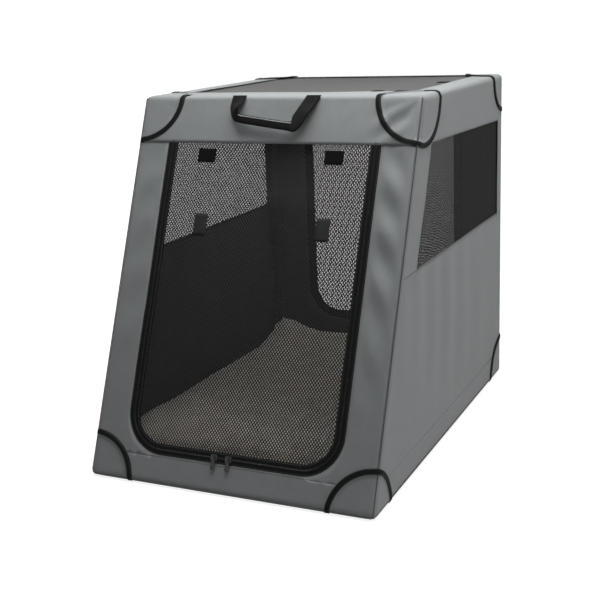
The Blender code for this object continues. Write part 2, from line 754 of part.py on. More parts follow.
def brackets(name, pivot, foot_way, top, body, riveted=True):
    """A left and a right bracket, each saddled on a side tube, with two ears for a leg's end.

    The rivet is one with the ears. Where the pivot is open there are only its two heads.
    """
    place = bracket_place(pivot, foot_way, top)
    for word, side in (("left", -1), ("right", 1)):
        middle = side * LEG_X
        solid, cuts, rivet = bmesh.new(), bmesh.new(), bmesh.new()
        add_sheet(solid, [bracket_profile()], place, middle - EAR_OUTER, middle + EAR_OUTER)
        slot = rectangle(-EAR_RADIUS - OVERRUN, TUBE_RADIUS + FOOT_WALL,
                         FOOT_START + FOOT_RISE + OVERRUN, BRACKET_REACH + EAR_RADIUS + OVERRUN)
        add_sheet(cuts, [slot], place, middle - SLOT_HALF, middle + SLOT_HALF)
        start = place(FOOT_START - FOOT_RISE - OVERRUN, 0.0, side * FRAME_X)
        end = place(FOOT_END + OVERRUN, 0.0, side * FRAME_X)
        round_cut(cuts, start, end, TUBE_RADIUS + SEAT, TUBE_SIDES)
        add_rivet(rivet, pivot + X * middle, EAR_OUTER, riveted)
        thing = piece(f"{name}_{word}", solid, body, BLACK_PLASTIC)
        combine(thing, body, "DIFFERENCE", cuts)
        combine(thing, body, "UNION", rivet)


def add_rivet(solid, centre, seat, through):
    """A rivet along X with its heads on a pair of ears, or its two heads alone."""
    top, root = seat + PIN_HEAD, seat - PIN_SUNK
    if through:
        profile = ((-top, PIN_HEAD_RADIUS), (-root, PIN_HEAD_RADIUS), (-root, PIN_RADIUS),
                   (root, PIN_RADIUS), (root, PIN_HEAD_RADIUS), (top, PIN_HEAD_RADIUS))
        runs = [profile]
    else:
        runs = [((way * root, PIN_HEAD_RADIUS), (way * top, PIN_HEAD_RADIUS)) for way in (-1, 1)]
    for run in runs:
        add_rings(solid, [circle(centre + X * x, Y, Z, radius, PIN_SIDES) for x, radius in run])


def tube_ring(centre, across, out, half_across, half_out, edge):
    """Twelve points round a tube: a circle where the two halves and the edge radius are alike."""
    ring = []
    for quadrant in range(4):
        sign_across = (1, -1, -1, 1)[quadrant]
        sign_out = (1, 1, -1, -1)[quadrant]
        middle = centre + across * sign_across * (half_across - edge) + out * sign_out * (half_out - edge)
        for step in (15, 45, 75):
            turn = radians(quadrant * 90 + step)
            ring.append(middle + across * (edge * cos(turn)) + out * (edge * sin(turn)))
    return ring


def leg_half(name, leg, side, pivot, knee, hole, body):
    """A leg tube, flattened into a round-ended tongue at its pivot and plain at its knee."""
    along = (knee - pivot).normalized()
    shift = X * side * LEG_X
    rings = []
    for step in range(TONGUE_ROUND_STEPS + 1):
        first = TONGUE_ROUND_FROM_DEGREES
        turn = radians(first + (90 - first) * step / TONGUE_ROUND_STEPS)
        wide = TONGUE_WIDE * sin(turn)
        edge = min(TONGUE_EDGE, wide * TONGUE_EDGE_SHARE)
        centre = pivot + shift - along * TONGUE_WIDE * cos(turn)
        rings.append(tube_ring(centre, X, leg.outward, TONGUE_HALF, wide, edge))
    centre = pivot + shift + along * TONGUE_REACH
    rings.append(tube_ring(centre, X, leg.outward, TONGUE_HALF, TONGUE_WIDE, TONGUE_EDGE))
    start = centre + along * TONGUE_TAPER
    end = knee + shift - along * (KNUCKLE_SOCKET + SEAT)
    for centre in (start, end):
        rings.append(tube_ring(centre, X, leg.outward, TUBE_RADIUS, TUBE_RADIUS, TUBE_RADIUS))
    solid = bmesh.new()
    add_rings(solid, rings)
    thing = piece(name, solid, body, BLACK_TUBE)
    if hole:
        bore = bmesh.new()
        reach = X * (TONGUE_HALF + OVERRUN)
        round_cut(bore, pivot + shift - reach, pivot + shift + reach, PIN_RADIUS + SEAT, PIN_SIDES)
        combine(thing, body, "DIFFERENCE", bore)


def knuckle_profile(offset):
    """A knee half's outline, c outwards from the tube's middle and z from the knee, on the tube's side."""
    shoulder = offset - KNUCKLE_DISC - TURN_CLEARANCE
    body = [(shoulder, -SEAT / 2), (-KNUCKLE_WIDE, -SEAT / 2), (-KNUCKLE_WIDE, -KNUCKLE_LENGTH),
            (KNUCKLE_WIDE, -KNUCKLE_LENGTH), (KNUCKLE_WIDE, -KNUCKLE_NECK)]
    disc = arc((offset, 0), KNUCKLE_DISC, -90, 180, DISC_STEPS)
    return body + disc


def knuckle_place(leg, lower):
    """Places (c, z, x) at a leg's knee, with z running down for the lower half's body."""
    way = leg.along if lower else -leg.along
    return lambda c, z, x: leg.knee + leg.outward * c + way * z + X * x


def cut_across(solid, centre, low_x, high_x, radius, sides):
    at = Vector((0, centre.y, centre.z))
    round_cut(solid, at + X * low_x, at + X * high_x, radius, sides)


def knee_half(name, leg, side, lower, body):
    """Half of a knee: a riveted fork on the lower tube, or a tongue on the upper one."""
    place = knuckle_place(leg, lower)
    way = leg.along if lower else -leg.along
    swing = KNUCKLE_DISC + TURN_CLEARANCE
    middle = side * LEG_X
    solid, cuts = bmesh.new(), bmesh.new()
    add_sheet(solid, [knuckle_profile(leg.offset)], place, middle - KNUCKLE_HALF, middle + KNUCKLE_HALF)
    start = leg.knee + X * middle - way * KNUCKLE_SOCKET
    end = leg.knee + X * middle - way * (KNUCKLE_LENGTH + OVERRUN)
    round_cut(cuts, start, end, TUBE_RADIUS + SEAT, TUBE_SIDES)
    thing = piece(name, solid, body, BLACK_PLASTIC)
    if lower:
        cut_across(cuts, leg.pin, middle - SLOT_HALF, middle + SLOT_HALF, swing, 2 * DISC_STEPS)
        inner = side * (LEG_X - KNUCKLE_HALF)
        bore_at = leg.knee - leg.along * BUTTON_FROM_KNEE
        depth = BUTTON_LENGTH - BUTTON_PROUD + BUTTON_TRAVEL + SEAT
        cut_across(cuts, bore_at, inner - side * OVERRUN, inner + side * depth, BUTTON_RADIUS + SEAT, TUBE_SIDES)
        rivet = bmesh.new()
        add_rivet(rivet, leg.pin + X * middle, KNUCKLE_HALF, True)
        combine(thing, body, "DIFFERENCE", cuts)
        combine(thing, body, "UNION", rivet)
    else:
        for ear in (-1, 1):
            cut_across(cuts, leg.pin, middle + ear * TONGUE_HALF, middle + ear * (KNUCKLE_HALF + OVERRUN),
                       swing, 2 * DISC_STEPS)
        hole = bmesh.new()
        cut_across(hole, leg.pin, middle - KNUCKLE_HALF, middle + KNUCKLE_HALF, PIN_RADIUS + SEAT, PIN_SIDES)
        combine(thing, body, "DIFFERENCE", cuts, hole)


def lock_button(name, leg, side, body):
    """A push button in the inner side of a knee's fork."""
    centre = leg.knee - leg.along * BUTTON_FROM_KNEE
    outer = LEG_X - KNUCKLE_HALF - BUTTON_PROUD
    profile = [(outer, BUTTON_RADIUS - BUTTON_CHAMFER), (outer + BUTTON_CHAMFER, BUTTON_RADIUS),
               (outer + BUTTON_LENGTH, BUTTON_RADIUS)]
    solid = bmesh.new()
    at = Vector((0, centre.y, centre.z))
    add_rings(solid, [circle(at + X * side * x, Y, Z, radius, TUBE_SIDES) for x, radius in profile])
    BODY_ORIGINS[f"{name}_body"] = at + X * side * outer
    piece(name, solid, f"{name}_body", GREY_PLASTIC)
    ride_on(f"{name}_body", body)


def legs():
    for prefix, leg in (("front", FRONT_LEG), ("rear", REAR_LEG)):
        lower_body, upper_body = f"{prefix}_lower_body", f"{prefix}_upper_body"
        for side, word in ((-1, "left"), (1, "right")):
            knee_half(f"{prefix}_knee_fork_{word}", leg, side, True, lower_body)
            knee_half(f"{prefix}_knee_tongue_{word}", leg, side, False, upper_body)
            leg_half(f"{prefix}_leg_lower_{word}", leg, side, leg.low, leg.knee, True, lower_body)
            leg_half(f"{prefix}_leg_upper_{word}", leg, side, leg.high, leg.knee, prefix == "rear", upper_body)
            lock_button(f"{prefix}_lock_button_{word}", leg, side, lower_body)


# Zip sliders, pulls and the handle


def zip_runner(slider_name, pull_name, u, v, face, carrier):
    """A zip slider with a bail, and the pull whose eye goes round the bail's lower leg."""
    BODY_ORIGINS[f"{slider_name}_body"] = face(u, v)
    half_u, half_v = SLIDER_LENGTH / 2, SLIDER_WIDTH / 2
    deck = SEAT + SLIDER_PLATE
    under_bar = deck + SEAT + PULL_THICK + SEAT
    plate, bail, pull = bmesh.new(), bmesh.new(), bmesh.new()
    body = rectangle(u - half_u, v - half_v, u + half_u, v + half_v)
    add_sheet(plate, [body], face, SEAT, deck)
    root = deck - SLIDER_PLATE / 2
    inside = BAIL_REACH - BAIL_LEG
    arch = [(-BAIL_REACH, root), (-inside, root), (-inside, under_bar), (inside, under_bar), (inside, root),
            (BAIL_REACH, root), (BAIL_REACH, under_bar + BAIL_BAR), (-BAIL_REACH, under_bar + BAIL_BAR)]
    add_sheet(bail, [arch], lambda b, w, a: face(u + a, v + b, w), -BAIL_WIDTH / 2, BAIL_WIDTH / 2)
    slider = piece(slider_name, plate, f"{slider_name}_body", DARK_METAL)
    combine(slider, f"{slider_name}_body", "UNION", bail)
    top = v + inside - SEAT
    BODY_ORIGINS[f"{pull_name}_body"] = face(u, top - PULL_EYE_BAR / 2, deck + SEAT + PULL_THICK / 2)
    eye_half = PULL_EYE_WIDTH / 2
    neck = eye_half + PULL_EYE_SIDE
    eye = rectangle(u - eye_half, top - PULL_EYE_BAR - PULL_EYE_LENGTH, u + eye_half, top - PULL_EYE_BAR)
    shoulder = top - PULL_LENGTH * PULL_SHOULDER_SHARE
    foot = top - PULL_LENGTH
    half = PULL_WIDTH / 2
    outline = [(u - neck, top), (u - neck, shoulder), (u - half, shoulder - neck), (u - half, foot),
               (u + half, foot), (u + half, shoulder - neck), (u + neck, shoulder), (u + neck, top)]
    turns = [2 * pi * i / PULL_HOLE_SIDES for i in range(PULL_HOLE_SIDES)]
    middle = top - PULL_LENGTH * PULL_HOLE_SHARE
    hole = [(u + PULL_HOLE * cos(t), middle + PULL_HOLE * sin(t)) for t in turns]
    add_sheet(pull, [outline, eye, hole], face, deck + SEAT, deck + SEAT + PULL_THICK)
    piece(pull_name, pull, f"{pull_name}_body", DARK_METAL)
    ride_on(f"{pull_name}_body", f"{slider_name}_body")
    ride_on(f"{slider_name}_body", carrier)


def zips():
    left = SLIDER_MIDDLE - SLIDER_SPACING / 2
    right = SLIDER_MIDDLE + SLIDER_SPACING / 2
    run = DOOR_SILL + ZIP_BAND / 2
    zip_runner("front_zip_slider_left", "front_zip_pull_left", left, run, FRONT, "base_body")
    zip_runner("front_zip_slider_right", "front_zip_pull_right", right, run, FRONT, "base_body")
    # one slider closes the back door, so it rests at the zip's upper end
    side = BACK_DOOR_WIDTH / 2 - ZIP_BAND / 2
    high = CRATE_HEIGHT - TOP_BAND - BACK_SLIDER_DROP
    zip_runner("back_zip_slider", "back_zip_pull", side, high, BACK, "roof_body")


def handle():
    """A webbing handle: two flat straps from the roof's front edge, gathered into a narrow grip."""
    rings = []
    stations = [(1, station) for station in HANDLE_STATION_SHARES]
    stations += [(-1, station) for station in HANDLE_STATION_SHARES[::-1]]
    for side, (spread, fall, stand, strap, turn) in stations:
        # the strap's width runs across its own path, which turns from downwards to sideways
        across = Vector((side * sin(radians(turn)), -cos(radians(turn))))
        width = HANDLE_GRIP + (HANDLE_STRAP - HANDLE_GRIP) * strap
        thick = HANDLE_GRIP_THICK + (HANDLE_CLOTH - HANDLE_GRIP_THICK) * turn / 90
        low = SEAT + HANDLE_STAND_OFF * stand
        u, v = side * HANDLE_SPREAD * spread, SLOPE - HANDLE_DROP * fall
        near = (u - across.x * width / 2, v - across.y * width / 2)
        far = (u + across.x * width / 2, v + across.y * width / 2)
        rings.append([FRONT(*near, low), FRONT(*far, low), FRONT(*far, low + thick), FRONT(*near, low + thick)])
    solid = bmesh.new()
    add_rings(solid, rings)
    piece("handle_strap", solid, "handle_body", BLACK_CLOTH)


def main():
    clear_scene()
    floor_pieces()
    floor_mat()
    skin_panels()
    roof_pieces()
    doors()
    corner_guards()
    frames()
    brackets("front_base_bracket", FRONT_LOW, 1, False, "base_body")
    brackets("rear_base_bracket", REAR_LOW, -1, False, "base_body")
    brackets("front_roof_bracket", FRONT_HIGH, 1, True, "roof_body", riveted=False)
    brackets("rear_roof_bracket", REAR_HIGH, -1, True, "roof_body")
    legs()
    zips()
    handle()
    # the bodies hang together as they move
    ride_on("rear_lower_body", "base_body")
    ride_on("rear_upper_body", "rear_lower_body")
    ride_on("roof_body", "rear_upper_body")
    ride_on("front_lower_body", "base_body")
    ride_on("front_upper_body", "front_lower_body")
    for body in ("front_door_body", "back_door_body", "handle_body"):
        ride_on(body, "roof_body")


main()
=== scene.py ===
"""A soft-sided folding dog crate: cloth, nets, zips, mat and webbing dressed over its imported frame."""

import math

import bmesh
import bpy
import numpy as np
from bpy.props import FloatProperty, FloatVectorProperty, IntProperty, PointerProperty
from mathutils import Matrix, Vector, noise


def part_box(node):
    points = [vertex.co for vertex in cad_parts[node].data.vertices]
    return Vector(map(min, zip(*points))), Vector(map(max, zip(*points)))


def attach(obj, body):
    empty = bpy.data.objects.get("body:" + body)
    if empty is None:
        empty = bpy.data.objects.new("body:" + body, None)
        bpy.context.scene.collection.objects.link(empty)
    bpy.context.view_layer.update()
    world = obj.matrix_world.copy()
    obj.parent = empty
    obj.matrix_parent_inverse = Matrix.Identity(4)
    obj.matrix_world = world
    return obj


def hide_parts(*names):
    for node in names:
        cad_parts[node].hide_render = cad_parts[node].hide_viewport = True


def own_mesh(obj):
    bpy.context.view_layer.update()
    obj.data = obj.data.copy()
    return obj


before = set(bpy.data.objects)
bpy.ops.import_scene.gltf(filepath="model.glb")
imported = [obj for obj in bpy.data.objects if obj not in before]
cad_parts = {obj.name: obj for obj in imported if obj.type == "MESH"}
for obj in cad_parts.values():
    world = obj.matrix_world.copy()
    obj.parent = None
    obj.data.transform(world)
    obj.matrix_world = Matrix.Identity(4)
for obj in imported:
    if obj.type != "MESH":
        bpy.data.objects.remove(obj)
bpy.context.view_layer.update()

bl_info = {
    "name": "Folding dog crate",
    "version": (1, 0, 0),
    "blender": (4, 5, 0),
    "location": "View3D > Sidebar > Crate",
    "description": "Dresses the packed frame of a soft folding dog crate",
    "category": "Object",
}

# The crate's outer shape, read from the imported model
LOW_FRONT, HIGH_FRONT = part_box("front_panel")
LOW_ROOF, HIGH_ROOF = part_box("roof_border")
HALF_WIDTH = HIGH_FRONT.x
HALF_LENGTH = HIGH_ROOF.y
HEIGHT = HIGH_ROOF.z
SETBACK = LOW_ROOF.y + HALF_LENGTH
SLOPE = math.hypot(SETBACK, HEIGHT)

# Openings, in metres along each face
TOP_BAND = 0.080
DOOR_HALF = 0.195
DOOR_SILL = 0.053
DOOR_CORNER = 0.070
ZIP_BAND = 0.0185
BACK_DOOR_HALF = 0.175
BACK_DOOR_SILL = 0.085
WINDOW_HIGH = HEIGHT - 0.078
WINDOW_LOW = WINDOW_HIGH - 0.191
WINDOW_FRONT = 0.070
WINDOW_REAR = 0.035
ROOF_FRONT = 0.085
ROOF_SIDE = 0.046
ROOF_REAR = 0.016
MAT_REACH = 0.2285
ROUND_ROWS = (0.0, 0.0012, 0.0026, 0.0042, 0.006, 0.008, 0.0105, 0.0135)

# Height of the cloth's foot, where the cloth is cut in two; on the crate, the cloth above it flattens when the crate
# folds
FOLD_FOOT = 0.045


class Face:
    """A flat face of the crate before its edges are rounded: u runs across it and v up it."""

    def __init__(self, origin, across, up, out):
        self.origin, self.across = np.array(origin, float), np.array(across, float)
        self.up, self.out = np.array(up, float), np.array(out, float)

    def at(self, uv):
        uv = np.asarray(uv, float).reshape(-1, 2)
        return self.origin + uv[:, :1] * self.across + uv[:, 1:2] * self.up

    def matrix(self, lift=0.0):
        made = Matrix.Identity(4)
        for column, axis in enumerate((self.across, self.up, self.out)):
            for row in range(3):
                made[row][column] = axis[row]
        for row in range(3):
            made[row][3] = self.origin[row] + self.out[row] * lift
        return made


FRONT = Face((0, -HALF_LENGTH, 0), (1, 0, 0), (0, SETBACK / SLOPE, HEIGHT / SLOPE),
             (0, -HEIGHT / SLOPE, SETBACK / SLOPE))
BACK = Face((0, HALF_LENGTH, 0), (-1, 0, 0), (0, 0, 1), (0, 1, 0))
RIGHT = Face((HALF_WIDTH, 0, 0), (0, 1, 0), (0, 0, 1), (1, 0, 0))
LEFT = Face((-HALF_WIDTH, 0, 0), (0, -1, 0), (0, 0, 1), (-1, 0, 0))
ROOF = Face((0, 0, HEIGHT), (1, 0, 0), (0, 1, 0), (0, 0, 1))
FLOOR = Face((0, 0, 0), (1, 0, 0), (0, -1, 0), (0, 0, -1))


class CrateCloth(bpy.types.PropertyGroup):
    """Sizes and colours of the walls, roof and floor cloth."""

    colour: FloatVectorProperty(name="Cloth", description="Outside colour of the cloth", subtype="COLOR",
                                size=3, min=0, max=1, default=(0.175, 0.186, 0.188))
    lining: FloatVectorProperty(name="Lining", description="Inside colour of the cloth", subtype="COLOR",
                                size=3, min=0, max=1, default=(0.062, 0.070, 0.070))
    thick: FloatProperty(name="Thickness", description="Thickness of the cloth and its lining",
                         unit="LENGTH", default=0.0012, min=0.0004, max=0.003)
    edge: FloatProperty(name="Edge rounding", description="Radius of the crate's edges over its tubes",
                        unit="LENGTH", default=0.009, min=0.002, max=0.02)
    folds: FloatProperty(name="Folds", description="Depth of the slack folds in the walls",
                         unit="LENGTH", default=0.0011, min=0, max=0.003)
    thread: FloatProperty(name="Thread", description="Spacing of the weave", unit="LENGTH",
                          default=0.0009, min=0.0003, max=0.004)


class CrateNet(bpy.types.PropertyGroup):
    """Sizes and colour of the netting."""

    across: FloatProperty(name="Pitch across", description="Width of one diamond", unit="LENGTH",
                          default=0.0052, min=0.002, max=0.02)
    up: FloatProperty(name="Pitch up", description="Height of one diamond", unit="LENGTH",
                      default=0.0070, min=0.002, max=0.02)
    opening: FloatProperty(name="Opening", description="Share of a diamond that its hole takes",
                           subtype="FACTOR", default=0.60, min=0.3, max=0.9)
    colour: FloatVectorProperty(name="Net", description="Colour of the netting", subtype="COLOR",
                                size=3, min=0, max=1, default=(0.0185, 0.018, 0.0175))


class CrateTrim(bpy.types.PropertyGroup):
    """Sizes and colours of tapes, zips, webbing and stitches."""

    tape: FloatVectorProperty(name="Tape", description="Colour of the binding and zip tapes", subtype="COLOR",
                              size=3, min=0, max=1, default=(0.0075, 0.008, 0.0082))
    binding: FloatProperty(name="Binding", description="Width of the corner guards' binding", unit="LENGTH",
                           default=0.0095, min=0.003, max=0.02)
    tooth: FloatProperty(name="Tooth pitch", description="Spacing of the zip's teeth", unit="LENGTH",
                         default=0.0016, min=0.001, max=0.004)
    stitch: FloatProperty(name="Stitch", description="Length of one stitch and its gap", unit="LENGTH",
                          default=0.0034, min=0.002, max=0.008)
    patch_grain: IntProperty(name="Patch seed", description="Seed of the fastener patches' fluff",
                             default=5, min=0, max=99)


class CrateMat(bpy.types.PropertyGroup):
    """Size and colour of the plush mat."""

    colour: FloatVectorProperty(name="Plush", description="Colour of the mat's pile", subtype="COLOR",
                                size=3, min=0, max=1, default=(0.72, 0.68, 0.61))
    voxel: FloatProperty(name="Grain", description="Size of the mat's mesh", unit="LENGTH",
                         default=0.0065, min=0.004, max=0.02)
    pile: FloatProperty(name="Pile", description="Height of the tufts", unit="LENGTH",
                        default=0.0007, min=0, max=0.004)


class CrateStage(bpy.types.PropertyGroup):
    """Light and floor."""

    top: FloatProperty(name="Overhead lamp", description="Power of the soft lamp above", unit="POWER",
                       default=22.5, min=0, max=500)
    front: FloatProperty(name="Front lamp", description="Power of the soft lamp in front", unit="POWER",
                         default=0.6, min=0, max=500)
    side: FloatProperty(name="Side lamp", description="Power of the soft lamp at the right", unit="POWER",
                        default=23.0, min=0, max=500)
    ambient: FloatProperty(name="Ambient", description="Strength of the even light around", default=0.15,
                           min=0, max=2)


# Rounding


def inset_profile(inset):
    """The crate's side outline drawn in by a distance."""
    corners = [(-HALF_LENGTH, 0.0), (HALF_LENGTH, 0.0), (HALF_LENGTH, HEIGHT), (SETBACK - HALF_LENGTH, HEIGHT)]
    lines = []
    for i, corner in enumerate(corners):
        a, b = np.array(corner), np.array(corners[(i + 1) % 4])
        along = (b - a) / np.linalg.norm(b - a)
        inward = np.array([-along[1], along[0]])
        lines.append((inward, inward @ a + inset))
    points = []
    for i in range(4):
        (n1, d1), (n2, d2) = lines[i - 1], lines[i]
        points.append(np.linalg.solve(np.array([n1, n2]), np.array([d1, d2])))
    return np.array(points)


def nearest_in_profile(points, outline):
    """The nearest point of a convex outline to each point."""
    best, reach = points.copy(), np.full(len(points), np.inf)
    inside = np.ones(len(points), bool)
    for i in range(len(outline)):
        a, b = outline[i], outline[(i + 1) % len(outline)]
        side = b - a
        share = np.clip(((points - a) @ side) / (side @ side), 0, 1)
        found = a + share[:, None] * side
        gap = np.linalg.norm(points - found, axis=1)
        closer = gap < reach
        best[closer], reach[closer] = found[closer], gap[closer]
        inside &= side[0] * (points[:, 1] - a[1]) - side[1] * (points[:, 0] - a[0]) >= 0
    best[inside] = points[inside]
    return best


def smooth(low, high, values):
    share = np.clip((values - low) / (high - low), 0, 1)
    return share * share * (3 - 2 * share)


def plane_depths(points):
    """How deep each point lies under the crate's six planes, sorted."""
    x, y, z = points.T
    front = ((y + HALF_LENGTH) * HEIGHT - z * SETBACK) / SLOPE
    return np.sort(np.stack([HALF_WIDTH - np.abs(x), front, HALF_LENGTH - y, z, HEIGHT - z]), axis=0)


WAVES = np.random.RandomState(11).uniform(-1, 1, (9, 3))
WAVE_STARTS = np.random.RandomState(12).uniform(0, 6.28, 9)


def slack(points):
    """The cloth's slack: gentle waves all over, upright folds low on the sides, slanted ones beside the door."""
    depth = bpy.context.scene.crate_cloth.folds
    x, y, z = points.T
    total = np.zeros(len(points))
    for way, start in zip(WAVES, WAVE_STARTS):
        total += np.sin(points @ (way / np.linalg.norm(way) * (26 + 20 * abs(way[0]))) + start)
    total *= 0.16
    on_side = smooth(HALF_WIDTH - 0.002, HALF_WIDTH - 0.0002, np.abs(x))
    low = smooth(WINDOW_LOW + 0.01, WINDOW_LOW - 0.03, z) * smooth(0.02, 0.20, z)
    wander = 1.5 * np.sin(8.3 * y + 1) + 0.9 * np.sin(11 * z + 4 * y + 2)
    spell = smooth(-0.5, 1.0, np.sin(7.3 * y + 4 * z + 0.6))
    total += 0.9 * on_side * low * spell * np.sin(2 * math.pi * y / 0.095 + wander)
    front = 1 - smooth(0.0002, 0.002, np.abs((y + HALF_LENGTH) * HEIGHT - z * SETBACK) / SLOPE)
    strip = smooth(DOOR_HALF + 0.002, DOOR_HALF + 0.020, np.abs(x))
    reach = smooth(0.10, 0.25, z) * smooth(0.60, 0.50, z)
    strong = 0.45 + 0.55 * smooth(0.0, 0.1, x) * smooth(0.22, 0.36, z)
    total += 3.4 * front * strip * reach * strong * np.sin(2 * math.pi * (z + 1.15 * np.abs(x)) / 0.088 + wander)
    corner = smooth(0.16, 0.20, x) * smooth(0.52, 0.56, z)
    total += 2.0 * front * corner * np.sin(2 * math.pi * (z - 0.75 * x) / 0.038)
    calm = plane_depths(points)[1]
    return depth * total * smooth(0.006, 0.030, calm) * smooth(0.0, 0.003, z)


def skin(points, lift=0.0, folds=True):
    """Moves points of the sharp-edged crate onto its rounded cloth, and out by a lift. Gives places and normals."""
    radius = bpy.context.scene.crate_cloth.edge
    points = np.asarray(points, float).reshape(-1, 3)
    core = np.empty_like(points)
    core[:, 0] = np.clip(points[:, 0], radius - HALF_WIDTH, HALF_WIDTH - radius)
    core[:, 1:] = nearest_in_profile(points[:, 1:], inset_profile(radius))
    away = points - core
    normal = away / np.linalg.norm(away, axis=1)[:, None]
    reach = radius + lift + (slack(points) if folds else 0.0)
    return core + normal * np.reshape(reach, (-1, 1)), normal


# Meshes


def make_piece(name, points, faces, finishes, uv=None, marks=None, shade=True):
    """A mesh object at the origin, with its place in its mesh and an optional map in metres."""
    mesh = bpy.data.meshes.new(name)
    mesh.from_pydata([tuple(p) for p in points], [], faces)
    for finish in finishes:
        mesh.materials.append(finish)
    if uv is not None:
        layer = mesh.uv_layers.new(name="cloth")
        corners = np.empty(len(mesh.loops), int)
        mesh.loops.foreach_get("vertex_index", corners)
        layer.data.foreach_set("uv", np.asarray(uv, float)[corners].ravel())
    if marks is not None:
        mesh.polygons.foreach_set("material_index", marks)
    mesh.polygons.foreach_set("use_smooth", [shade] * len(mesh.polygons))
    mesh.update()
    thing = bpy.data.objects.new(name, mesh)
    bpy.context.scene.collection.objects.link(thing)
    return thing


def bake(thing):
    """Turns an object's modifiers into its plain mesh."""
    bpy.context.view_layer.update()
    seen = thing.evaluated_get(bpy.context.evaluated_depsgraph_get())
    mesh = bpy.data.meshes.new_from_object(seen)
    thing.modifiers.clear()
    thing.data = mesh
    mesh.name = thing.name
    return thing


def grid_faces(rows, columns, closed=False):
    wide = columns if closed else columns - 1
    faces = []
    for r in range(rows - 1):
        for c in range(wide):
            d = (c + 1) % columns
            faces.append((r * columns + c, r * columns + d, (r + 1) * columns + d, (r + 1) * columns + c))
    return faces


def resample(points, count):
    """Points evenly spaced along a polyline, without its last one."""
    points = np.asarray(points, float)
    steps = np.linalg.norm(np.diff(points, axis=0), axis=1)
    along = np.concatenate([[0], np.cumsum(steps)])
    wanted = np.linspace(0, along[-1], count + 1)[:-1]
    return np.stack([np.interp(wanted, along, points[:, i]) for i in range(points.shape[1])], axis=1)


def arc(centre, radius, start, end, steps):
    turns = np.radians(np.linspace(start, end, steps + 1))
    return [(centre[0] + radius * math.cos(t), centre[1] + radius * math.sin(t)) for t in turns]


def door_path(half, sill, head, corner, sides=60, steps=14):
    """A door's edge from its upper left down, across and up, the same number of points at every offset."""
    left = [(-half, head + (sill + corner - head) * i / sides) for i in range(sides)]
    turn_left = arc((corner - half, sill + corner), corner, 180, 270, steps)
    turn_right = arc((half - corner, sill + corner), corner, 270, 360, steps)
    run = [(corner - half + (2 * half - 2 * corner) * i / 40, sill) for i in range(1, 40)]
    right = [(half, sill + corner + (head - sill - corner) * (i + 1) / sides) for i in range(sides)]
    return left + turn_left + run + turn_right + right


def ring_panel(name, face, outer, inner, spacing, rows, finishes, skip=()):
    """A face's cloth from its outline to its opening. Outer and inner are four polylines each, anticlockwise."""
    loops = [[], []]
    for far, near in zip(outer, inner):
        far_points = np.asarray(far, float)
        length = np.linalg.norm(np.diff(far_points, axis=0), axis=1).sum()
        count = max(4, round(length / spacing))
        loops[0].append(resample(far, count))
        loops[1].append(resample(near, count))
    far, near = np.concatenate(loops[0]), np.concatenate(loops[1])
    gap = np.linalg.norm(near - far, axis=1)
    way = (near - far) / gap[:, None]
    fixed = ROUND_ROWS
    levels = [np.minimum(d, gap * (i + 1) / (len(fixed) + rows)) if d else gap * 0 for i, d in enumerate(fixed)]
    levels = [np.full(len(gap), d) for d in fixed if d < gap.min()]
    start = levels[-1]
    levels += [start + (gap - start) * (i + 1) / rows for i in range(rows)]
    uv = np.concatenate([far + way * level[:, None] for level in levels])
    places, _ = skin(face.at(uv))
    thing = make_piece(name, places, grid_faces(len(levels), len(far), True), finishes, uv)
    wall = thing.modifiers.new("lining", "SOLIDIFY")
    wall.thickness = bpy.context.scene.crate_cloth.thick
    wall.offset = -1
    wall.material_offset = 1
    wall.material_offset_rim = 1
    return bake(thing)


def four(corners):
    """The sides of a four-cornered outline."""
    return [[corners[i], corners[(i + 1) % 4]] for i in range(4)]


def rectangle(low_u, low_v, high_u, high_v):
    return [(low_u, low_v), (high_u, low_v), (high_u, high_v), (low_u, high_v)]


def door_sides(half, sill, head, corner, steps=12):
    """A door opening as four sides that meet in the middle of its lower corners."""
    left, right = (corner - half, sill + corner), (half - corner, sill + corner)
    foot = arc(left, corner, 225, 270, steps) + arc(right, corner, 270, 315, steps)
    rise = arc(right, corner, 315, 360, steps) + [(half, head)]
    top = [(half, head), (-half, head)]
    fall = [(-half, head)] + arc(left, corner, 180, 225, steps)
    return [foot, rise, top, fall]


def band(name, face, paths, profile, finishes, lift_path=None):
    """A tape along a path on a face. Paths are the same edge at each offset; the profile is a closed loop of lifts."""
    columns = len(paths[0])
    points, uv = [], []
    for path, (lift, across) in zip(paths, profile):
        flat = face.at(path)
        places, _ = skin(flat, lift)
        points.append(places)
        steps = np.concatenate([[0], np.cumsum(np.linalg.norm(np.diff(np.asarray(path), axis=0), axis=1))])
        uv.append(np.stack([steps, np.full(columns, across)], axis=1))
    rows = len(paths)
    faces = []
    for r in range(rows):
        s = (r + 1) % rows
        for c in range(columns - 1):
            faces.append((r * columns + c, s * columns + c, s * columns + c + 1, r * columns + c + 1))
    faces.append([r * columns for r in range(rows)][::-1])
    faces.append([r * columns + columns - 1 for r in range(rows)])
    thing = make_piece(name, np.concatenate(points), faces, finishes, np.concatenate(uv))
    face_outward(thing)
    return thing


def face_outward(thing):
    """Makes a closed mesh's faces point outwards."""
    shape = bmesh.new()
    shape.from_mesh(thing.data)
    bmesh.ops.remove_doubles(shape, verts=shape.verts, dist=1e-6)
    bmesh.ops.recalc_face_normals(shape, faces=shape.faces)
    shape.to_mesh(thing.data)
    shape.free()
    return thing


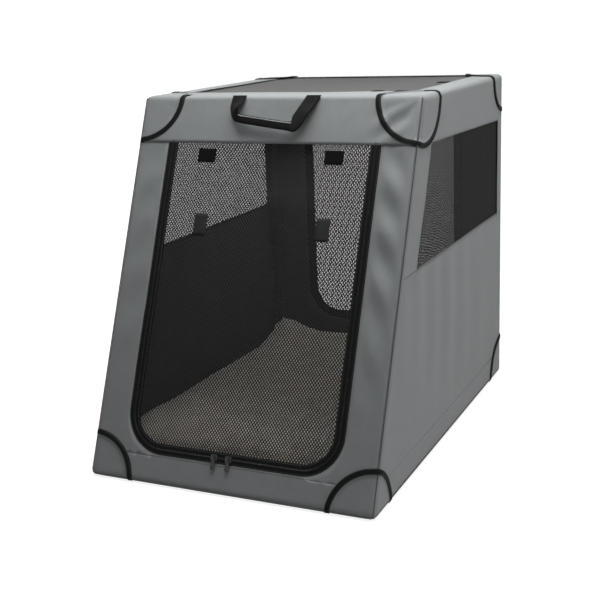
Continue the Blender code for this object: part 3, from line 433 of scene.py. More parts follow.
def tube(name, points, radius, finishes, sides=6, closed=False):
    """A round piping along points in space."""
    points = np.asarray(points, float)
    count = len(points)
    ahead = np.roll(points, -1, 0) - np.roll(points, 1, 0)
    if not closed:
        ahead[0], ahead[-1] = points[1] - points[0], points[-1] - points[-2]
    ahead /= np.linalg.norm(ahead, axis=1)[:, None]
    side = np.cross(ahead[0], (0.3, 0.5, 0.8))
    rings = []
    for p, t in zip(points, ahead):
        side = side - t * (side @ t)
        side /= np.linalg.norm(side)
        other = np.cross(t, side)
        for i in range(sides):
            turn = 2 * math.pi * i / sides
            rings.append(p + radius * (math.cos(turn) * side + math.sin(turn) * other))
    faces = []
    for r in range(count if closed else count - 1):
        s = (r + 1) % count
        for c in range(sides):
            d = (c + 1) % sides
            faces.append((r * sides + c, r * sides + d, s * sides + d, s * sides + c))
    if not closed:
        faces.append(tuple(range(sides))[::-1])
        faces.append(tuple((count - 1) * sides + c for c in range(sides)))
    return face_outward(make_piece(name, rings, faces, finishes))


def join(name, things):
    """One object from several, at the origin."""
    shape = bmesh.new()
    finishes = []
    for thing in things:
        for finish in thing.data.materials:
            if finish not in finishes:
                finishes.append(finish)
        own = [finishes.index(m) for m in thing.data.materials]
        for polygon in thing.data.polygons:
            polygon.material_index = own[polygon.material_index] if own else 0
        shape.from_mesh(thing.data)
    mesh = bpy.data.meshes.new(name)
    shape.to_mesh(mesh)
    shape.free()
    for finish in finishes:
        mesh.materials.append(finish)
    for thing in things:
        bpy.data.objects.remove(thing, do_unlink=True)
    made = bpy.data.objects.new(name, mesh)
    bpy.context.scene.collection.objects.link(made)
    return made


def cut_at(thing, level, low):
    """The part of a closed mesh below or above a level, closed again."""
    shape = bmesh.new()
    shape.from_mesh(thing.data)
    whole = shape.verts[:] + shape.edges[:] + shape.faces[:]
    bmesh.ops.bisect_plane(shape, geom=whole, dist=1e-7, plane_co=(0, 0, level), plane_no=(0, 0, 1),
                           clear_outer=low, clear_inner=not low)
    bmesh.ops.holes_fill(shape, edges=[e for e in shape.edges if e.is_boundary], sides=0)
    mesh = thing.data.copy()
    shape.to_mesh(mesh)
    shape.free()
    return mesh


def settle(thing, body, from_roof=False):
    """Gives cloth its body, first cutting off its foot below the fold level unless it hangs from the roof. Returns the
    feet it cut off.
    """
    feet = []
    lowest = min(vert.co.z for vert in thing.data.vertices)
    if not from_roof and lowest < FOLD_FOOT - 0.001:
        foot = bpy.data.objects.new(f"{thing.name}_foot", cut_at(thing, FOLD_FOOT, True))
        bpy.context.scene.collection.objects.link(foot)
        thing.data = cut_at(thing, FOLD_FOOT, False)
        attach(foot, body)
        feet.append(foot)
    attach(thing, body)
    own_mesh(thing)
    return feet


# Materials


def socket(tree, name, kind, output=False, default=None, low=None, high=None):
    made = tree.interface.new_socket(name=name, in_out="OUTPUT" if output else "INPUT", socket_type=kind)
    if default is not None:
        made.default_value = default
    if low is not None:
        made.min_value, made.max_value = low, high
    return made


class Nodes:
    """Short ways to add and join the nodes of one tree."""

    def __init__(self, tree):
        self.tree = tree

    def add(self, kind, **settings):
        node = self.tree.nodes.new(kind)
        for key, value in settings.items():
            if key.startswith("in_"):
                node.inputs[int(key[3:])].default_value = value
            else:
                setattr(node, key, value)
        return node

    def link(self, source, target):
        self.tree.links.new(source, target)

    def math(self, operation, first, second=None):
        node = self.add("ShaderNodeMath", operation=operation)
        for i, value in enumerate((first, second)):
            if value is None:
                continue
            if isinstance(value, (int, float)):
                node.inputs[i].default_value = value
            else:
                self.link(value, node.inputs[i])
        return node.outputs[0]


groups = {}


def weave_group():
    """Plain weave over a map in metres: its height, which the woven cloth also paints into its colour as shade between
    the threads, and a random mottle.
    """
    if "weave" in groups:
        return groups["weave"]
    tree = bpy.data.node_groups.new("woven threads", "ShaderNodeTree")
    socket(tree, "Vector", "NodeSocketVector")
    socket(tree, "Thread", "NodeSocketFloat", default=0.0009, low=0.0001, high=0.1)
    socket(tree, "Height", "NodeSocketFloat", output=True)
    socket(tree, "Mottle", "NodeSocketFloat", output=True)
    kit = Nodes(tree)
    inlet, outlet = kit.add("NodeGroupInput"), kit.add("NodeGroupOutput")
    parts = kit.add("ShaderNodeSeparateXYZ")
    kit.link(inlet.outputs["Vector"], parts.inputs[0])
    rate = kit.math("DIVIDE", math.pi, inlet.outputs["Thread"])
    across = kit.math("SINE", kit.math("MULTIPLY", parts.outputs[0], rate))
    along = kit.math("SINE", kit.math("MULTIPLY", parts.outputs[1], rate))
    height = kit.math("ADD", kit.math("MULTIPLY", kit.math("MULTIPLY", across, along), 0.5), 0.5)
    kit.link(height, outlet.inputs["Height"])
    cloud = kit.add("ShaderNodeTexNoise", in_2=42.0, in_3=5.0, in_4=0.62)
    kit.link(inlet.outputs["Vector"], cloud.inputs["Vector"])
    kit.link(cloud.outputs[0], outlet.inputs["Mottle"])
    groups["weave"] = tree
    return tree


def shader_of(name):
    finish = bpy.data.materials.new(name)
    finish.use_nodes = True
    return finish, finish.node_tree.nodes["Principled BSDF"]


def woven(name, colour, thread, rough, sheen=0.0, bump=0.4, spread=0.16, depth=0.0004, shine=0.2):
    """A woven cloth over the piece's own map."""
    finish, shader = shader_of(name)
    kit = Nodes(finish.node_tree)
    place = kit.add("ShaderNodeUVMap", uv_map="cloth")
    weave = kit.add("ShaderNodeGroup", node_tree=weave_group())
    weave.inputs["Thread"].default_value = thread
    kit.link(place.outputs[0], weave.inputs["Vector"])
    ramp = kit.add("ShaderNodeMapRange")
    kit.link(weave.outputs["Mottle"], ramp.inputs[0])
    for i, value in enumerate((0.3, 0.7, 1 - spread, 1 + spread)):
        ramp.inputs[i + 1].default_value = value
    # painted shade and highlight: the weave's low places darken the cloth's colour and its thread tops lighten it
    fine = kit.math("ADD", kit.math("MULTIPLY", weave.outputs["Height"], 0.22), 0.89)
    tone = kit.math("MULTIPLY", ramp.outputs[0], fine)
    tint = kit.add("ShaderNodeVectorMath", operation="SCALE")
    tint.inputs[0].default_value = colour
    kit.link(tone, tint.inputs["Scale"])
    kit.link(tint.outputs[0], shader.inputs["Base Color"])
    dull = kit.math("ADD", kit.math("MULTIPLY", weave.outputs["Mottle"], 0.12), rough - 0.06)
    kit.link(dull, shader.inputs["Roughness"])
    raised = kit.add("ShaderNodeBump")
    raised.inputs["Strength"].default_value = bump
    raised.inputs["Distance"].default_value = depth
    kit.link(weave.outputs["Height"], raised.inputs["Height"])
    kit.link(raised.outputs[0], shader.inputs["Normal"])
    shader.inputs["Sheen Weight"].default_value = sheen
    shader.inputs["Specular IOR Level"].default_value = shine
    return finish


def moulded(name, colour, rough, metallic=0.0, grain=900.0, bump=0.12, spread=0.10, shine=0.5, sheen=0.0):
    """A coated or moulded surface in the object's own coordinates."""
    finish, shader = shader_of(name)
    kit = Nodes(finish.node_tree)
    place = kit.add("ShaderNodeTexCoord")
    cloud = kit.add("ShaderNodeTexNoise", in_2=30.0, in_3=4.0, in_4=0.6)
    speck = kit.add("ShaderNodeTexNoise", in_2=grain, in_3=2.0, in_4=0.5)
    kit.link(place.outputs["Object"], cloud.inputs["Vector"])
    kit.link(place.outputs["Object"], speck.inputs["Vector"])
    tone = kit.add("ShaderNodeMapRange")
    kit.link(cloud.outputs[0], tone.inputs[0])
    for i, value in enumerate((0.3, 0.7, 1 - spread, 1 + spread)):
        tone.inputs[i + 1].default_value = value
    tint = kit.add("ShaderNodeVectorMath", operation="SCALE")
    tint.inputs[0].default_value = colour
    kit.link(tone.outputs[0], tint.inputs["Scale"])
    kit.link(tint.outputs[0], shader.inputs["Base Color"])
    kit.link(kit.math("ADD", kit.math("MULTIPLY", cloud.outputs[0], 0.16), rough - 0.08), shader.inputs["Roughness"])
    raised = kit.add("ShaderNodeBump")
    raised.inputs["Strength"].default_value = bump
    raised.inputs["Distance"].default_value = 0.0003
    kit.link(speck.outputs[0], raised.inputs["Height"])
    kit.link(raised.outputs[0], shader.inputs["Normal"])
    shader.inputs["Metallic"].default_value = metallic
    shader.inputs["Sheen Weight"].default_value = sheen
    shader.inputs["Specular IOR Level"].default_value = shine
    return finish


def plush(name, colour):
    """A short, soft pile in tufts."""
    finish, shader = shader_of(name)
    kit = Nodes(finish.node_tree)
    place = kit.add("ShaderNodeTexCoord")
    tuft = kit.add("ShaderNodeTexNoise", in_2=150.0, in_3=4.0, in_4=0.65)
    swirl = kit.add("ShaderNodeTexNoise", in_2=26.0, in_3=4.0, in_4=0.6)
    for node in (tuft, swirl):
        kit.link(place.outputs["Object"], node.inputs["Vector"])
    both = kit.math("ADD", kit.math("MULTIPLY", tuft.outputs[0], 0.5), kit.math("MULTIPLY", swirl.outputs[0], 0.5))
    tone = kit.add("ShaderNodeMapRange")
    kit.link(both, tone.inputs[0])
    for i, value in enumerate((0.34, 0.66, 0.66, 1.16)):
        tone.inputs[i + 1].default_value = value
    tint = kit.add("ShaderNodeVectorMath", operation="SCALE")
    tint.inputs[0].default_value = colour
    kit.link(tone.outputs[0], tint.inputs["Scale"])
    kit.link(tint.outputs[0], shader.inputs["Base Color"])
    raised = kit.add("ShaderNodeBump")
    raised.inputs["Strength"].default_value = 0.35
    raised.inputs["Distance"].default_value = 0.0018
    kit.link(both, raised.inputs["Height"])
    kit.link(raised.outputs[0], shader.inputs["Normal"])
    shader.inputs["Roughness"].default_value = 0.95
    shader.inputs["Sheen Weight"].default_value = 0.5
    shader.inputs["Sheen Roughness"].default_value = 0.6
    return finish


finishes = {}


def finish(name):
    """The crate's finishes, each made once."""
    if name in finishes:
        return finishes[name]
    settings = bpy.context.scene
    cloth, trim, net = settings.crate_cloth, settings.crate_trim, settings.crate_net
    makers = {
        "grey cloth": lambda: woven("grey_cloth", cloth.colour, cloth.thread, 0.62, 0.12, 0.35, 0.05),
        "black lining": lambda: woven("black_lining", cloth.lining, cloth.thread, 0.75, 0.02, 0.3, 0.12, shine=0.12),
        "tape": lambda: woven("black_tape", trim.tape, 0.0013, 0.75, 0.0, 0.55, 0.12, shine=0.05),
        "webbing": lambda: woven("black_webbing", (0.0055, 0.0055, 0.006), 0.0021, 0.70, 0.0, 0.9, 0.14, 0.0006, 0.06),
        "net": lambda: moulded("black_net", net.colour, 0.70, 0.0, 700.0, 0.1, shine=0.1),
        "roof net": lambda: moulded("roof_net", net.colour, 0.70, 0.0, 700.0, 0.1, shine=0.15, sheen=0.32),
        "teeth": lambda: moulded("black_coil", (0.010, 0.010, 0.0105), 0.5, 0.0, 600.0, 0.05, shine=0.2),
        "piping": lambda: moulded("dark_piping", (0.026, 0.028, 0.029), 0.7, 0.0, 900.0, 0.3),
        "thread": lambda: moulded("grey_thread", (0.20, 0.21, 0.21), 0.6, 0.0, 1500.0, 0.3),
        "black thread": lambda: moulded("black_thread", (0.02, 0.02, 0.021), 0.5, 0.0, 1500.0, 0.3),
        "patch": lambda: moulded("hook_patch", (0.0045, 0.0045, 0.005), 0.9, 0.0, 1400.0, 0.9, 0.25, 0.05),
        "loop patch": lambda: moulded("loop_patch", (0.027, 0.028, 0.029), 0.95, 0.0, 1100.0, 0.9, 0.25, 0.05),
        "plush": lambda: plush("pale_plush", settings.crate_mat.colour),
        "tube": lambda: moulded("coated_tube", (0.028, 0.029, 0.030), 0.38, 0.0, 1200.0, 0.08),
        "plastic": lambda: moulded("black_plastic", (0.020, 0.020, 0.021), 0.48, 0.0, 1000.0, 0.25),
        "button": lambda: moulded("grey_plastic", (0.090, 0.090, 0.092), 0.42, 0.0, 900.0, 0.15),
        "metal": lambda: moulded("dark_metal", (0.035, 0.035, 0.037), 0.42, 0.6, 700.0, 0.12),
    }
    finishes[name] = makers[name]()
    return finishes[name]


# Walls, roof and floor cloth


def dress_walls():
    cloth = [finish("grey cloth"), finish("black lining")]
    half, head = HALF_WIDTH, SLOPE - TOP_BAND
    door = door_sides(DOOR_HALF, DOOR_SILL, head, DOOR_CORNER)
    front = ring_panel("front_wall", FRONT, four(rectangle(-half, 0, half, SLOPE)), door, 0.008, 9, cloth)
    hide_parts("front_panel")
    back_door = door_sides(BACK_DOOR_HALF, BACK_DOOR_SILL, HEIGHT - TOP_BAND, DOOR_CORNER)
    back = ring_panel("back_wall", BACK, four(rectangle(-half, 0, half, HEIGHT)), back_door, 0.008, 9, cloth)
    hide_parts("back_panel")
    walls = [front, back]
    low_y, high_y = front_line(WINDOW_LOW) + WINDOW_FRONT, front_line(WINDOW_HIGH) + WINDOW_FRONT
    rear = HALF_LENGTH - WINDOW_REAR
    outline = [(-HALF_LENGTH, 0), (HALF_LENGTH, 0), (HALF_LENGTH, HEIGHT), (SETBACK - HALF_LENGTH, HEIGHT)]
    window = [(low_y, WINDOW_LOW), (rear, WINDOW_LOW), (rear, WINDOW_HIGH - 0.008), (high_y, WINDOW_HIGH)]
    for name, face, turn in (("right", RIGHT, 1), ("left", LEFT, -1)):
        far = [(turn * y, z) for y, z in outline][::turn]
        near = [(turn * y, z) for y, z in window][::turn]
        wall = ring_panel(f"{name}_wall", face, four(far), four(near), 0.010, 26, cloth)
        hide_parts(f"{name}_panel")
        walls.append(wall)
    for wall, flat in zip(walls, ((2 * half, SLOPE), (2 * half, HEIGHT), (0.75, HEIGHT), (0.75, HEIGHT))):
        feet = settle(wall, "base")
    front_top = SETBACK - HALF_LENGTH
    opening = rectangle(-half + ROOF_SIDE, front_top + ROOF_FRONT, half - ROOF_SIDE, HALF_LENGTH - ROOF_REAR)
    outline = rectangle(-half, front_top, half, HALF_LENGTH)
    roof = ring_panel("roof_cloth", ROOF, four(outline), four(opening), 0.008, 7, cloth)
    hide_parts("roof_border")
    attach(roof, "roof")
    inner = rectangle(-0.02, -0.02, 0.02, 0.02)
    floor = ring_panel("floor_cloth", FLOOR, four(rectangle(-half, -HALF_LENGTH, half, HALF_LENGTH)),
                       four(inner), 0.016, 14, [finish("black lining"), finish("black lining")])
    close_middle(floor)
    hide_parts("bottom_panel")
    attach(floor, "base")
    top_band()


def close_middle(floor):
    """Fills the last small square of the floor cloth, above and below."""
    shape = bmesh.new()
    shape.from_mesh(floor.data)
    rim = [f for f in shape.faces if abs(f.calc_center_median().x) < 0.0205
           and abs(f.calc_center_median().y) < 0.0205 and abs(f.normal.z) < 0.5]
    bmesh.ops.delete(shape, geom=rim, context="FACES")
    edges = [e for e in shape.edges if e.is_boundary and all(abs(v.co.x) < 0.03 for v in e.verts)]
    bmesh.ops.holes_fill(shape, edges=edges, sides=0)
    bmesh.ops.recalc_face_normals(shape, faces=shape.faces)
    shape.to_mesh(floor.data)
    shape.free()


def front_line(height):
    return -HALF_LENGTH + SETBACK * height / HEIGHT


def top_band():
    """The front's top band, a second layer whose lower hem stands just proud of the door."""
    half = HALF_WIDTH
    columns = 64
    heights = [SLOPE - d for d in ROUND_ROWS] + [SLOPE - 0.0135 - (TOP_BAND - 0.0125) * i / 12 for i in range(1, 13)]
    uv, lifts = [], []
    across = np.linspace(-half, half, columns)
    for v in heights:
        for u in across:
            uv.append((u, v))
            lifts.append(0.0012 - 0.0009 * smooth(TOP_BAND - 0.014, 0.0, np.array(SLOPE - v)))
    places, _ = skin(FRONT.at(uv), np.array(lifts))
    faces = [f[::-1] for f in grid_faces(len(heights), columns)]
    thing = make_piece("front_top_band", places, faces, [finish("grey cloth"), finish("grey cloth")], np.array(uv))
    wall = thing.modifiers.new("thickness", "SOLIDIFY")
    wall.thickness = 0.0008
    wall.offset = -1
    bake(thing)
    settle(thing, "base")


# Nets


BACK_PITCH = (0.0028, 0.0070)
WINDOW_PITCH = (0.0040, 0.0026)


def net_tree():
    """Geometry nodes that lay one knotted diamond on each point of a mesh."""
    if "net" in groups:
        return groups["net"]
    tree = bpy.data.node_groups.new("net lattice", "GeometryNodeTree")
    socket(tree, "Geometry", "NodeSocketGeometry")
    socket(tree, "Pitch across", "NodeSocketFloat", default=0.0055, low=0.001, high=0.1)
    socket(tree, "Pitch up", "NodeSocketFloat", default=0.0038, low=0.001, high=0.1)
    socket(tree, "Opening", "NodeSocketFloat", default=0.66, low=0.1, high=0.95)
    socket(tree, "Relief", "NodeSocketFloat", default=0.0004, low=0.0, high=0.01)
    socket(tree, "Finish", "NodeSocketMaterial")
    socket(tree, "Geometry", "NodeSocketGeometry", output=True)
    kit = Nodes(tree)
    inlet, outlet = kit.add("NodeGroupInput"), kit.add("NodeGroupOutput")
    outline = kit.add("GeometryNodeMeshCircle", fill_type="NGON")
    outline.inputs["Vertices"].default_value = 4
    outline.inputs["Radius"].default_value = 1.0
    drawn = kit.add("GeometryNodeExtrudeMesh", mode="FACES")
    drawn.inputs["Offset Scale"].default_value = 0.0
    kit.link(outline.outputs[0], drawn.inputs["Mesh"])
    scaled = kit.add("GeometryNodeScaleElements", domain="FACE")
    kit.link(drawn.outputs["Mesh"], scaled.inputs["Geometry"])
    kit.link(drawn.outputs["Top"], scaled.inputs["Selection"])
    kit.link(inlet.outputs["Opening"], scaled.inputs["Scale"])
    sunk = kit.add("GeometryNodeSetPosition")
    kit.link(scaled.outputs[0], sunk.inputs["Geometry"])
    kit.link(drawn.outputs["Top"], sunk.inputs["Selection"])
    drop = kit.add("ShaderNodeCombineXYZ")
    kit.link(kit.math("MULTIPLY", inlet.outputs["Relief"], -1.0), drop.inputs[2])
    kit.link(drop.outputs[0], sunk.inputs["Offset"])
    opened = kit.add("GeometryNodeDeleteGeometry", domain="FACE", mode="ALL")
    kit.link(sunk.outputs[0], opened.inputs["Geometry"])
    kit.link(drawn.outputs["Top"], opened.inputs["Selection"])
    size = kit.add("ShaderNodeCombineXYZ")
    kit.link(kit.math("MULTIPLY", inlet.outputs["Pitch across"], 0.5), size.inputs[0])
    kit.link(kit.math("MULTIPLY", inlet.outputs["Pitch up"], 0.5), size.inputs[1])
    size.inputs[2].default_value = 1.0
    laid = kit.add("GeometryNodeInstanceOnPoints")
    kit.link(inlet.outputs["Geometry"], laid.inputs["Points"])
    kit.link(opened.outputs[0], laid.inputs["Instance"])
    kit.link(size.outputs[0], laid.inputs["Scale"])
    real = kit.add("GeometryNodeRealizeInstances")
    kit.link(laid.outputs[0], real.inputs[0])
    welded = kit.add("GeometryNodeMergeByDistance")
    welded.inputs["Distance"].default_value = 0.00005
    kit.link(real.outputs[0], welded.inputs["Geometry"])
    dressed = kit.add("GeometryNodeSetMaterial")
    kit.link(welded.outputs[0], dressed.inputs["Geometry"])
    kit.link(inlet.outputs["Finish"], dressed.inputs["Material"])
    kit.link(dressed.outputs[0], outlet.inputs[0])
    groups["net"] = tree
    return tree


def set_input(modifier, name, value):
    """Sets a modifier's input by its socket's identifier."""
    for item in modifier.node_group.interface.items_tree:
        if item.item_type == "SOCKET" and item.in_out == "INPUT" and item.name == name:
            modifier[item.identifier] = value
            return
    raise RuntimeError(f"{modifier.name} has no input {name}")


def net_piece(name, face, low, high, keep, depth, sag=None, relief=0.00035, opening=None, pitch=None,
              dressing="net"):
    """A net on a face, from the diamonds that keep() takes. Nets in line differ in pitch, against moire rings."""
    settings = bpy.context.scene.crate_net
    across, up = pitch or (settings.across, settings.up)
    points = []
    rows = int((high[1] - low[1]) / (up / 2))
    columns = int((high[0] - low[0]) / across)
    for r in range(rows + 1):
        for c in range(columns + 1):
            u = low[0] + (c + 0.5 * (r % 2)) * across
            v = low[1] + r * up / 2
            if keep(u, v):
                points.append((u, v, 0.0))
    thing = make_piece(name, points, [], [finish(dressing)])
    lattice = thing.modifiers.new("lattice", "NODES")
    lattice.node_group = net_tree()
    set_input(lattice, "Pitch across", across)
    set_input(lattice, "Pitch up", up)
    set_input(lattice, "Opening", opening or settings.opening)
    set_input(lattice, "Relief", relief)
    set_input(lattice, "Finish", finish(dressing))
    bake(thing)
    co = np.empty(len(thing.data.vertices) * 3)
    thing.data.vertices.foreach_get("co", co)
    co = co.reshape(-1, 3)
    fall = sag(co[:, 0], co[:, 1]) if sag else 0.0
    flat = face.at(co[:, :2])
    places = flat + face.out * (co[:, 2:3] + depth + np.reshape(fall, (-1, 1)))
    thing.data.vertices.foreach_set("co", places.ravel())
    thing.data.polygons.foreach_set("use_smooth", [True] * len(thing.data.polygons))
    thing.data.update()
    area = sum(p.area for p in thing.data.polygons)
    width, length = high[0] - low[0], high[1] - low[1]
    return thing, width, length, min(max(area, 0.3 * width * length), width * length)


def inside_door(half, sill, head, corner):
    def keep(u, v):
        if abs(u) > half or not sill < v < head:
            return False
        out_u, out_v = abs(u) - (half - corner), sill + corner - v
        return out_u <= 0 or out_v <= 0 or math.hypot(out_u, out_v) < corner
    return keep


def dress_nets():
    settings = bpy.context.scene.crate_net
    head = SLOPE - TOP_BAND + 0.004
    half = DOOR_HALF - ZIP_BAND + 0.005
    sill = DOOR_SILL + ZIP_BAND - 0.005
    corner = DOOR_CORNER - ZIP_BAND + 0.005

    def wide(u, v):
        return 0.0012 * np.sin(7 * u + 1) * np.sin(6 * v)

    def slackened(u, v):
        # the open door lies against the handle, so the net gives way there
        near = smooth(0.0, 0.022, head - v) * (1 - smooth(0.050, 0.115, head - v))
        return wide(u, v) * (1 - near) - 0.0075 * near * (1 - smooth(0.055, 0.125, abs(u)))
    front = net_piece("front_door_mesh", FRONT, (-half, sill), (half, head),
                      inside_door(half, sill, head, corner), -0.0009, slackened)
    back_head = HEIGHT - TOP_BAND + 0.004
    half = BACK_DOOR_HALF - ZIP_BAND + 0.005
    sill = BACK_DOOR_SILL + ZIP_BAND - 0.005
    back = net_piece("back_door_mesh", BACK, (-half, sill), (half, back_head),
                     inside_door(half, sill, back_head, corner), -0.0009, wide, opening=settings.opening - 0.05,
                     pitch=BACK_PITCH)
    for (thing, width, length, area), node, body in ((front, "front_door_net", "front_door"),
                                                     (back, "back_door_net", "back_door")):
        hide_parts(node)
        settle(thing, body, True)
    low_y, high_y = front_line(WINDOW_LOW) + WINDOW_FRONT, front_line(WINDOW_HIGH) + WINDOW_FRONT
    rear = HALF_LENGTH - WINDOW_REAR + 0.006
    for name, face, turn in (("right", RIGHT, 1), ("left", LEFT, -1)):
        def keep(u, v, turn=turn):
            y = turn * u
            share = (v - WINDOW_LOW) / (WINDOW_HIGH - WINDOW_LOW)
            return low_y + (high_y - low_y) * share - 0.006 < y < rear and WINDOW_LOW - 0.006 < v < WINDOW_HIGH + 0.004
        ends = sorted((turn * (low_y - 0.01), turn * rear))
        thing, width, length, area = net_piece(f"{name}_window_mesh", face, (ends[0], WINDOW_LOW - 0.006),
                                               (ends[1], WINDOW_HIGH + 0.004), keep, -0.0021,
                                               relief=0.0005, opening=settings.opening - 0.065,
                                               pitch=WINDOW_PITCH)
        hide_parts(f"{name}_window_net")
        settle(thing, "base")
    front_top = SETBACK - HALF_LENGTH
    low = (-HALF_WIDTH + ROOF_SIDE - 0.006, front_top + ROOF_FRONT - 0.006)
    high = (HALF_WIDTH - ROOF_SIDE + 0.006, HALF_LENGTH - ROOF_REAR + 0.003)

    def droop(u, v):
        a = np.clip((u - low[0]) / (high[0] - low[0]), 0, 1)
        b = np.clip((v - low[1]) / (high[1] - low[1]), 0, 1)
        return -0.007 * (4 * a * (1 - a)) ** 0.8 * (4 * b * (1 - b)) ** 0.8
    thing, width, length, area = net_piece("roof_mesh", ROOF, low, high, lambda u, v: True, -0.0021, droop,
                                           opening=settings.opening - 0.06, dressing="roof net")
    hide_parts("roof_net")
    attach(thing, "roof")


# Door tapes, zips, stitches


def path_tree():
    """Geometry nodes that lay small blocks along a path: zip teeth and stitches."""
    if "path" in groups:
        return groups["path"]
    tree = bpy.data.node_groups.new("blocks on a path", "GeometryNodeTree")
    socket(tree, "Geometry", "NodeSocketGeometry")
    socket(tree, "Spacing", "NodeSocketFloat", default=0.003, low=0.0005, high=0.1)
    socket(tree, "Size", "NodeSocketVector")
    socket(tree, "Finish", "NodeSocketMaterial")
    socket(tree, "Geometry", "NodeSocketGeometry", output=True)
    kit = Nodes(tree)
    inlet, outlet = kit.add("NodeGroupInput"), kit.add("NodeGroupOutput")
    line = kit.add("GeometryNodeMeshToCurve")
    kit.link(inlet.outputs["Geometry"], line.inputs[0])
    spaced = kit.add("GeometryNodeResampleCurve", mode="LENGTH")
    kit.link(line.outputs[0], spaced.inputs["Curve"])
    kit.link(inlet.outputs["Spacing"], spaced.inputs["Length"])
    block = kit.add("GeometryNodeMeshCylinder", fill_type="NGON")
    block.inputs["Vertices"].default_value = 6
    block.inputs["Radius"].default_value = 0.5
    block.inputs["Depth"].default_value = 1.0
    tangent = kit.add("GeometryNodeInputTangent")
    turn = kit.add("FunctionNodeAlignEulerToVector", axis="Z")
    kit.link(tangent.outputs[0], turn.inputs["Vector"])
    laid = kit.add("GeometryNodeInstanceOnPoints")
    kit.link(spaced.outputs[0], laid.inputs["Points"])
    kit.link(block.outputs[0], laid.inputs["Instance"])
    kit.link(turn.outputs[0], laid.inputs["Rotation"])
    kit.link(inlet.outputs["Size"], laid.inputs["Scale"])
    real = kit.add("GeometryNodeRealizeInstances")
    kit.link(laid.outputs[0], real.inputs[0])
    dressed = kit.add("GeometryNodeSetMaterial")
    kit.link(real.outputs[0], dressed.inputs["Geometry"])
    kit.link(inlet.outputs["Finish"], dressed.inputs["Material"])
    kit.link(dressed.outputs[0], outlet.inputs[0])
    groups["path"] = tree
    return tree


def blocks(name, paths, spacing, size, finish_name):
    """Zip teeth or stitches along paths in space, as one plain mesh."""
    points, edges = [], []
    for path in paths:
        start = len(points)
        points += [tuple(p) for p in path]
        edges += [(i, i + 1) for i in range(start, len(points) - 1)]
    mesh = bpy.data.meshes.new(name)
    mesh.from_pydata(points, edges, [])
    thing = bpy.data.objects.new(name, mesh)
    bpy.context.scene.collection.objects.link(thing)
    row = thing.modifiers.new("row", "NODES")
    row.node_group = path_tree()
    set_input(row, "Spacing", spacing)
    set_input(row, "Size", size)
    set_input(row, "Finish", finish(finish_name))
    return bake(thing)


def on_face(face, path, lift):
    places, _ = skin(face.at(path), lift)
    return places


def tape_profile(width, proud):
    """Offsets across a tape with the lift at each, round its section."""
    top = [(0.0, -0.0004), (0.0004, proud * 0.7), (width * 0.25, proud), (width * 0.75, proud),
           (width - 0.0004, proud * 0.7), (width, -0.0004)]
    return top + [(width, -0.0013), (0.0, -0.0013)]


def tape_along(name, face, half, sill, head, corner, width, proud):
    profile = tape_profile(width, proud)
    paths = [door_path(half - off, sill + off, head, corner - off) for off, _ in profile]
    return band(name, face, paths, [(lift, off) for off, lift in profile], [finish("tape")])


def dress_doors():
    trim = bpy.context.scene.crate_trim
    head = SLOPE - TOP_BAND + 0.003
    middle = ZIP_BAND / 2
    outer = tape_along("front_zip_outer", FRONT, DOOR_HALF, DOOR_SILL, head, DOOR_CORNER, middle - 0.0002, 0.0005)
    inner = tape_along("front_door_tape", FRONT, DOOR_HALF - middle - 0.0002, DOOR_SILL + middle + 0.0002, head,
                       DOOR_CORNER - middle - 0.0002, middle, 0.0005)
    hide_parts("front_zip_tape")
    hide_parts("front_door_edge")
    back_head = HEIGHT - TOP_BAND + 0.003
    back_outer = tape_along("back_zip_outer", BACK, BACK_DOOR_HALF, BACK_DOOR_SILL, back_head, DOOR_CORNER,
                            middle - 0.0002, 0.0005)
    back_inner = tape_along("back_door_tape", BACK, BACK_DOOR_HALF - middle - 0.0002,
                            BACK_DOOR_SILL + middle + 0.0002, back_head, DOOR_CORNER - middle - 0.0002, middle, 0.0005)
    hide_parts("back_door_edge")
    pieces = [(outer, "base"), (inner, "front_door"), (back_outer, "base"), (back_inner, "back_door")]
    for prefix, face, half, sill, top, door in (("front", FRONT, DOOR_HALF, DOOR_SILL, head, "front_door"),
                                                ("back", BACK, BACK_DOOR_HALF, BACK_DOOR_SILL, back_head, "back_door")):
        for side, off, body in (("outer", middle - 0.0009, "base"), ("inner", middle + 0.0009, door)):
            path = door_path(half - off, sill + off, top, DOOR_CORNER - off)
            coil = blocks(f"{prefix}_teeth_{side}", [on_face(face, path, 0.0008)], trim.tooth,
                          (0.0017, 0.0017, trim.tooth * 0.62), "teeth")
            pieces.append((coil, body))
        for side, off, body in (("outer", 0.0017, "base"), ("inner", ZIP_BAND - 0.0020, door)):
            path = door_path(half - off, sill + off, top, DOOR_CORNER - off)
            seam = blocks(f"{prefix}_stitches_{side}", [on_face(face, path, 0.0006)], trim.stitch,
                          (0.0006, 0.0006, trim.stitch * 0.66), "black thread")
            pieces.append((seam, body))
    for thing, body in pieces:
        settle(thing, body, body != "base")
    patches()


def patch(name, face, corners, lift, finish_name, body):
    """A thin fastener patch with softened edges."""
    low_u, low_v, high_u, high_v = corners
    columns = 9
    uv, lifts = [], []
    for j in range(columns):
        for i in range(columns):
            a, b = i / (columns - 1), j / (columns - 1)
            uv.append((low_u + (high_u - low_u) * a, low_v + (high_v - low_v) * b))
            rim = min(a, 1 - a, b, 1 - b)
            lifts.append(lift + 0.0006 * min(1.0, rim * 8))
    flat = face.at(uv)
    places = flat + face.out * np.array(lifts)[:, None]
    thing = make_piece(name, places, grid_faces(columns, columns), [finish(finish_name)], np.array(uv))
    wall = thing.modifiers.new("thickness", "SOLIDIFY")
    wall.thickness = 0.0010
    wall.offset = -1
    bake(thing)
    if body == "roof":
        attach(thing, body)
    else:
        settle(thing, body, True)


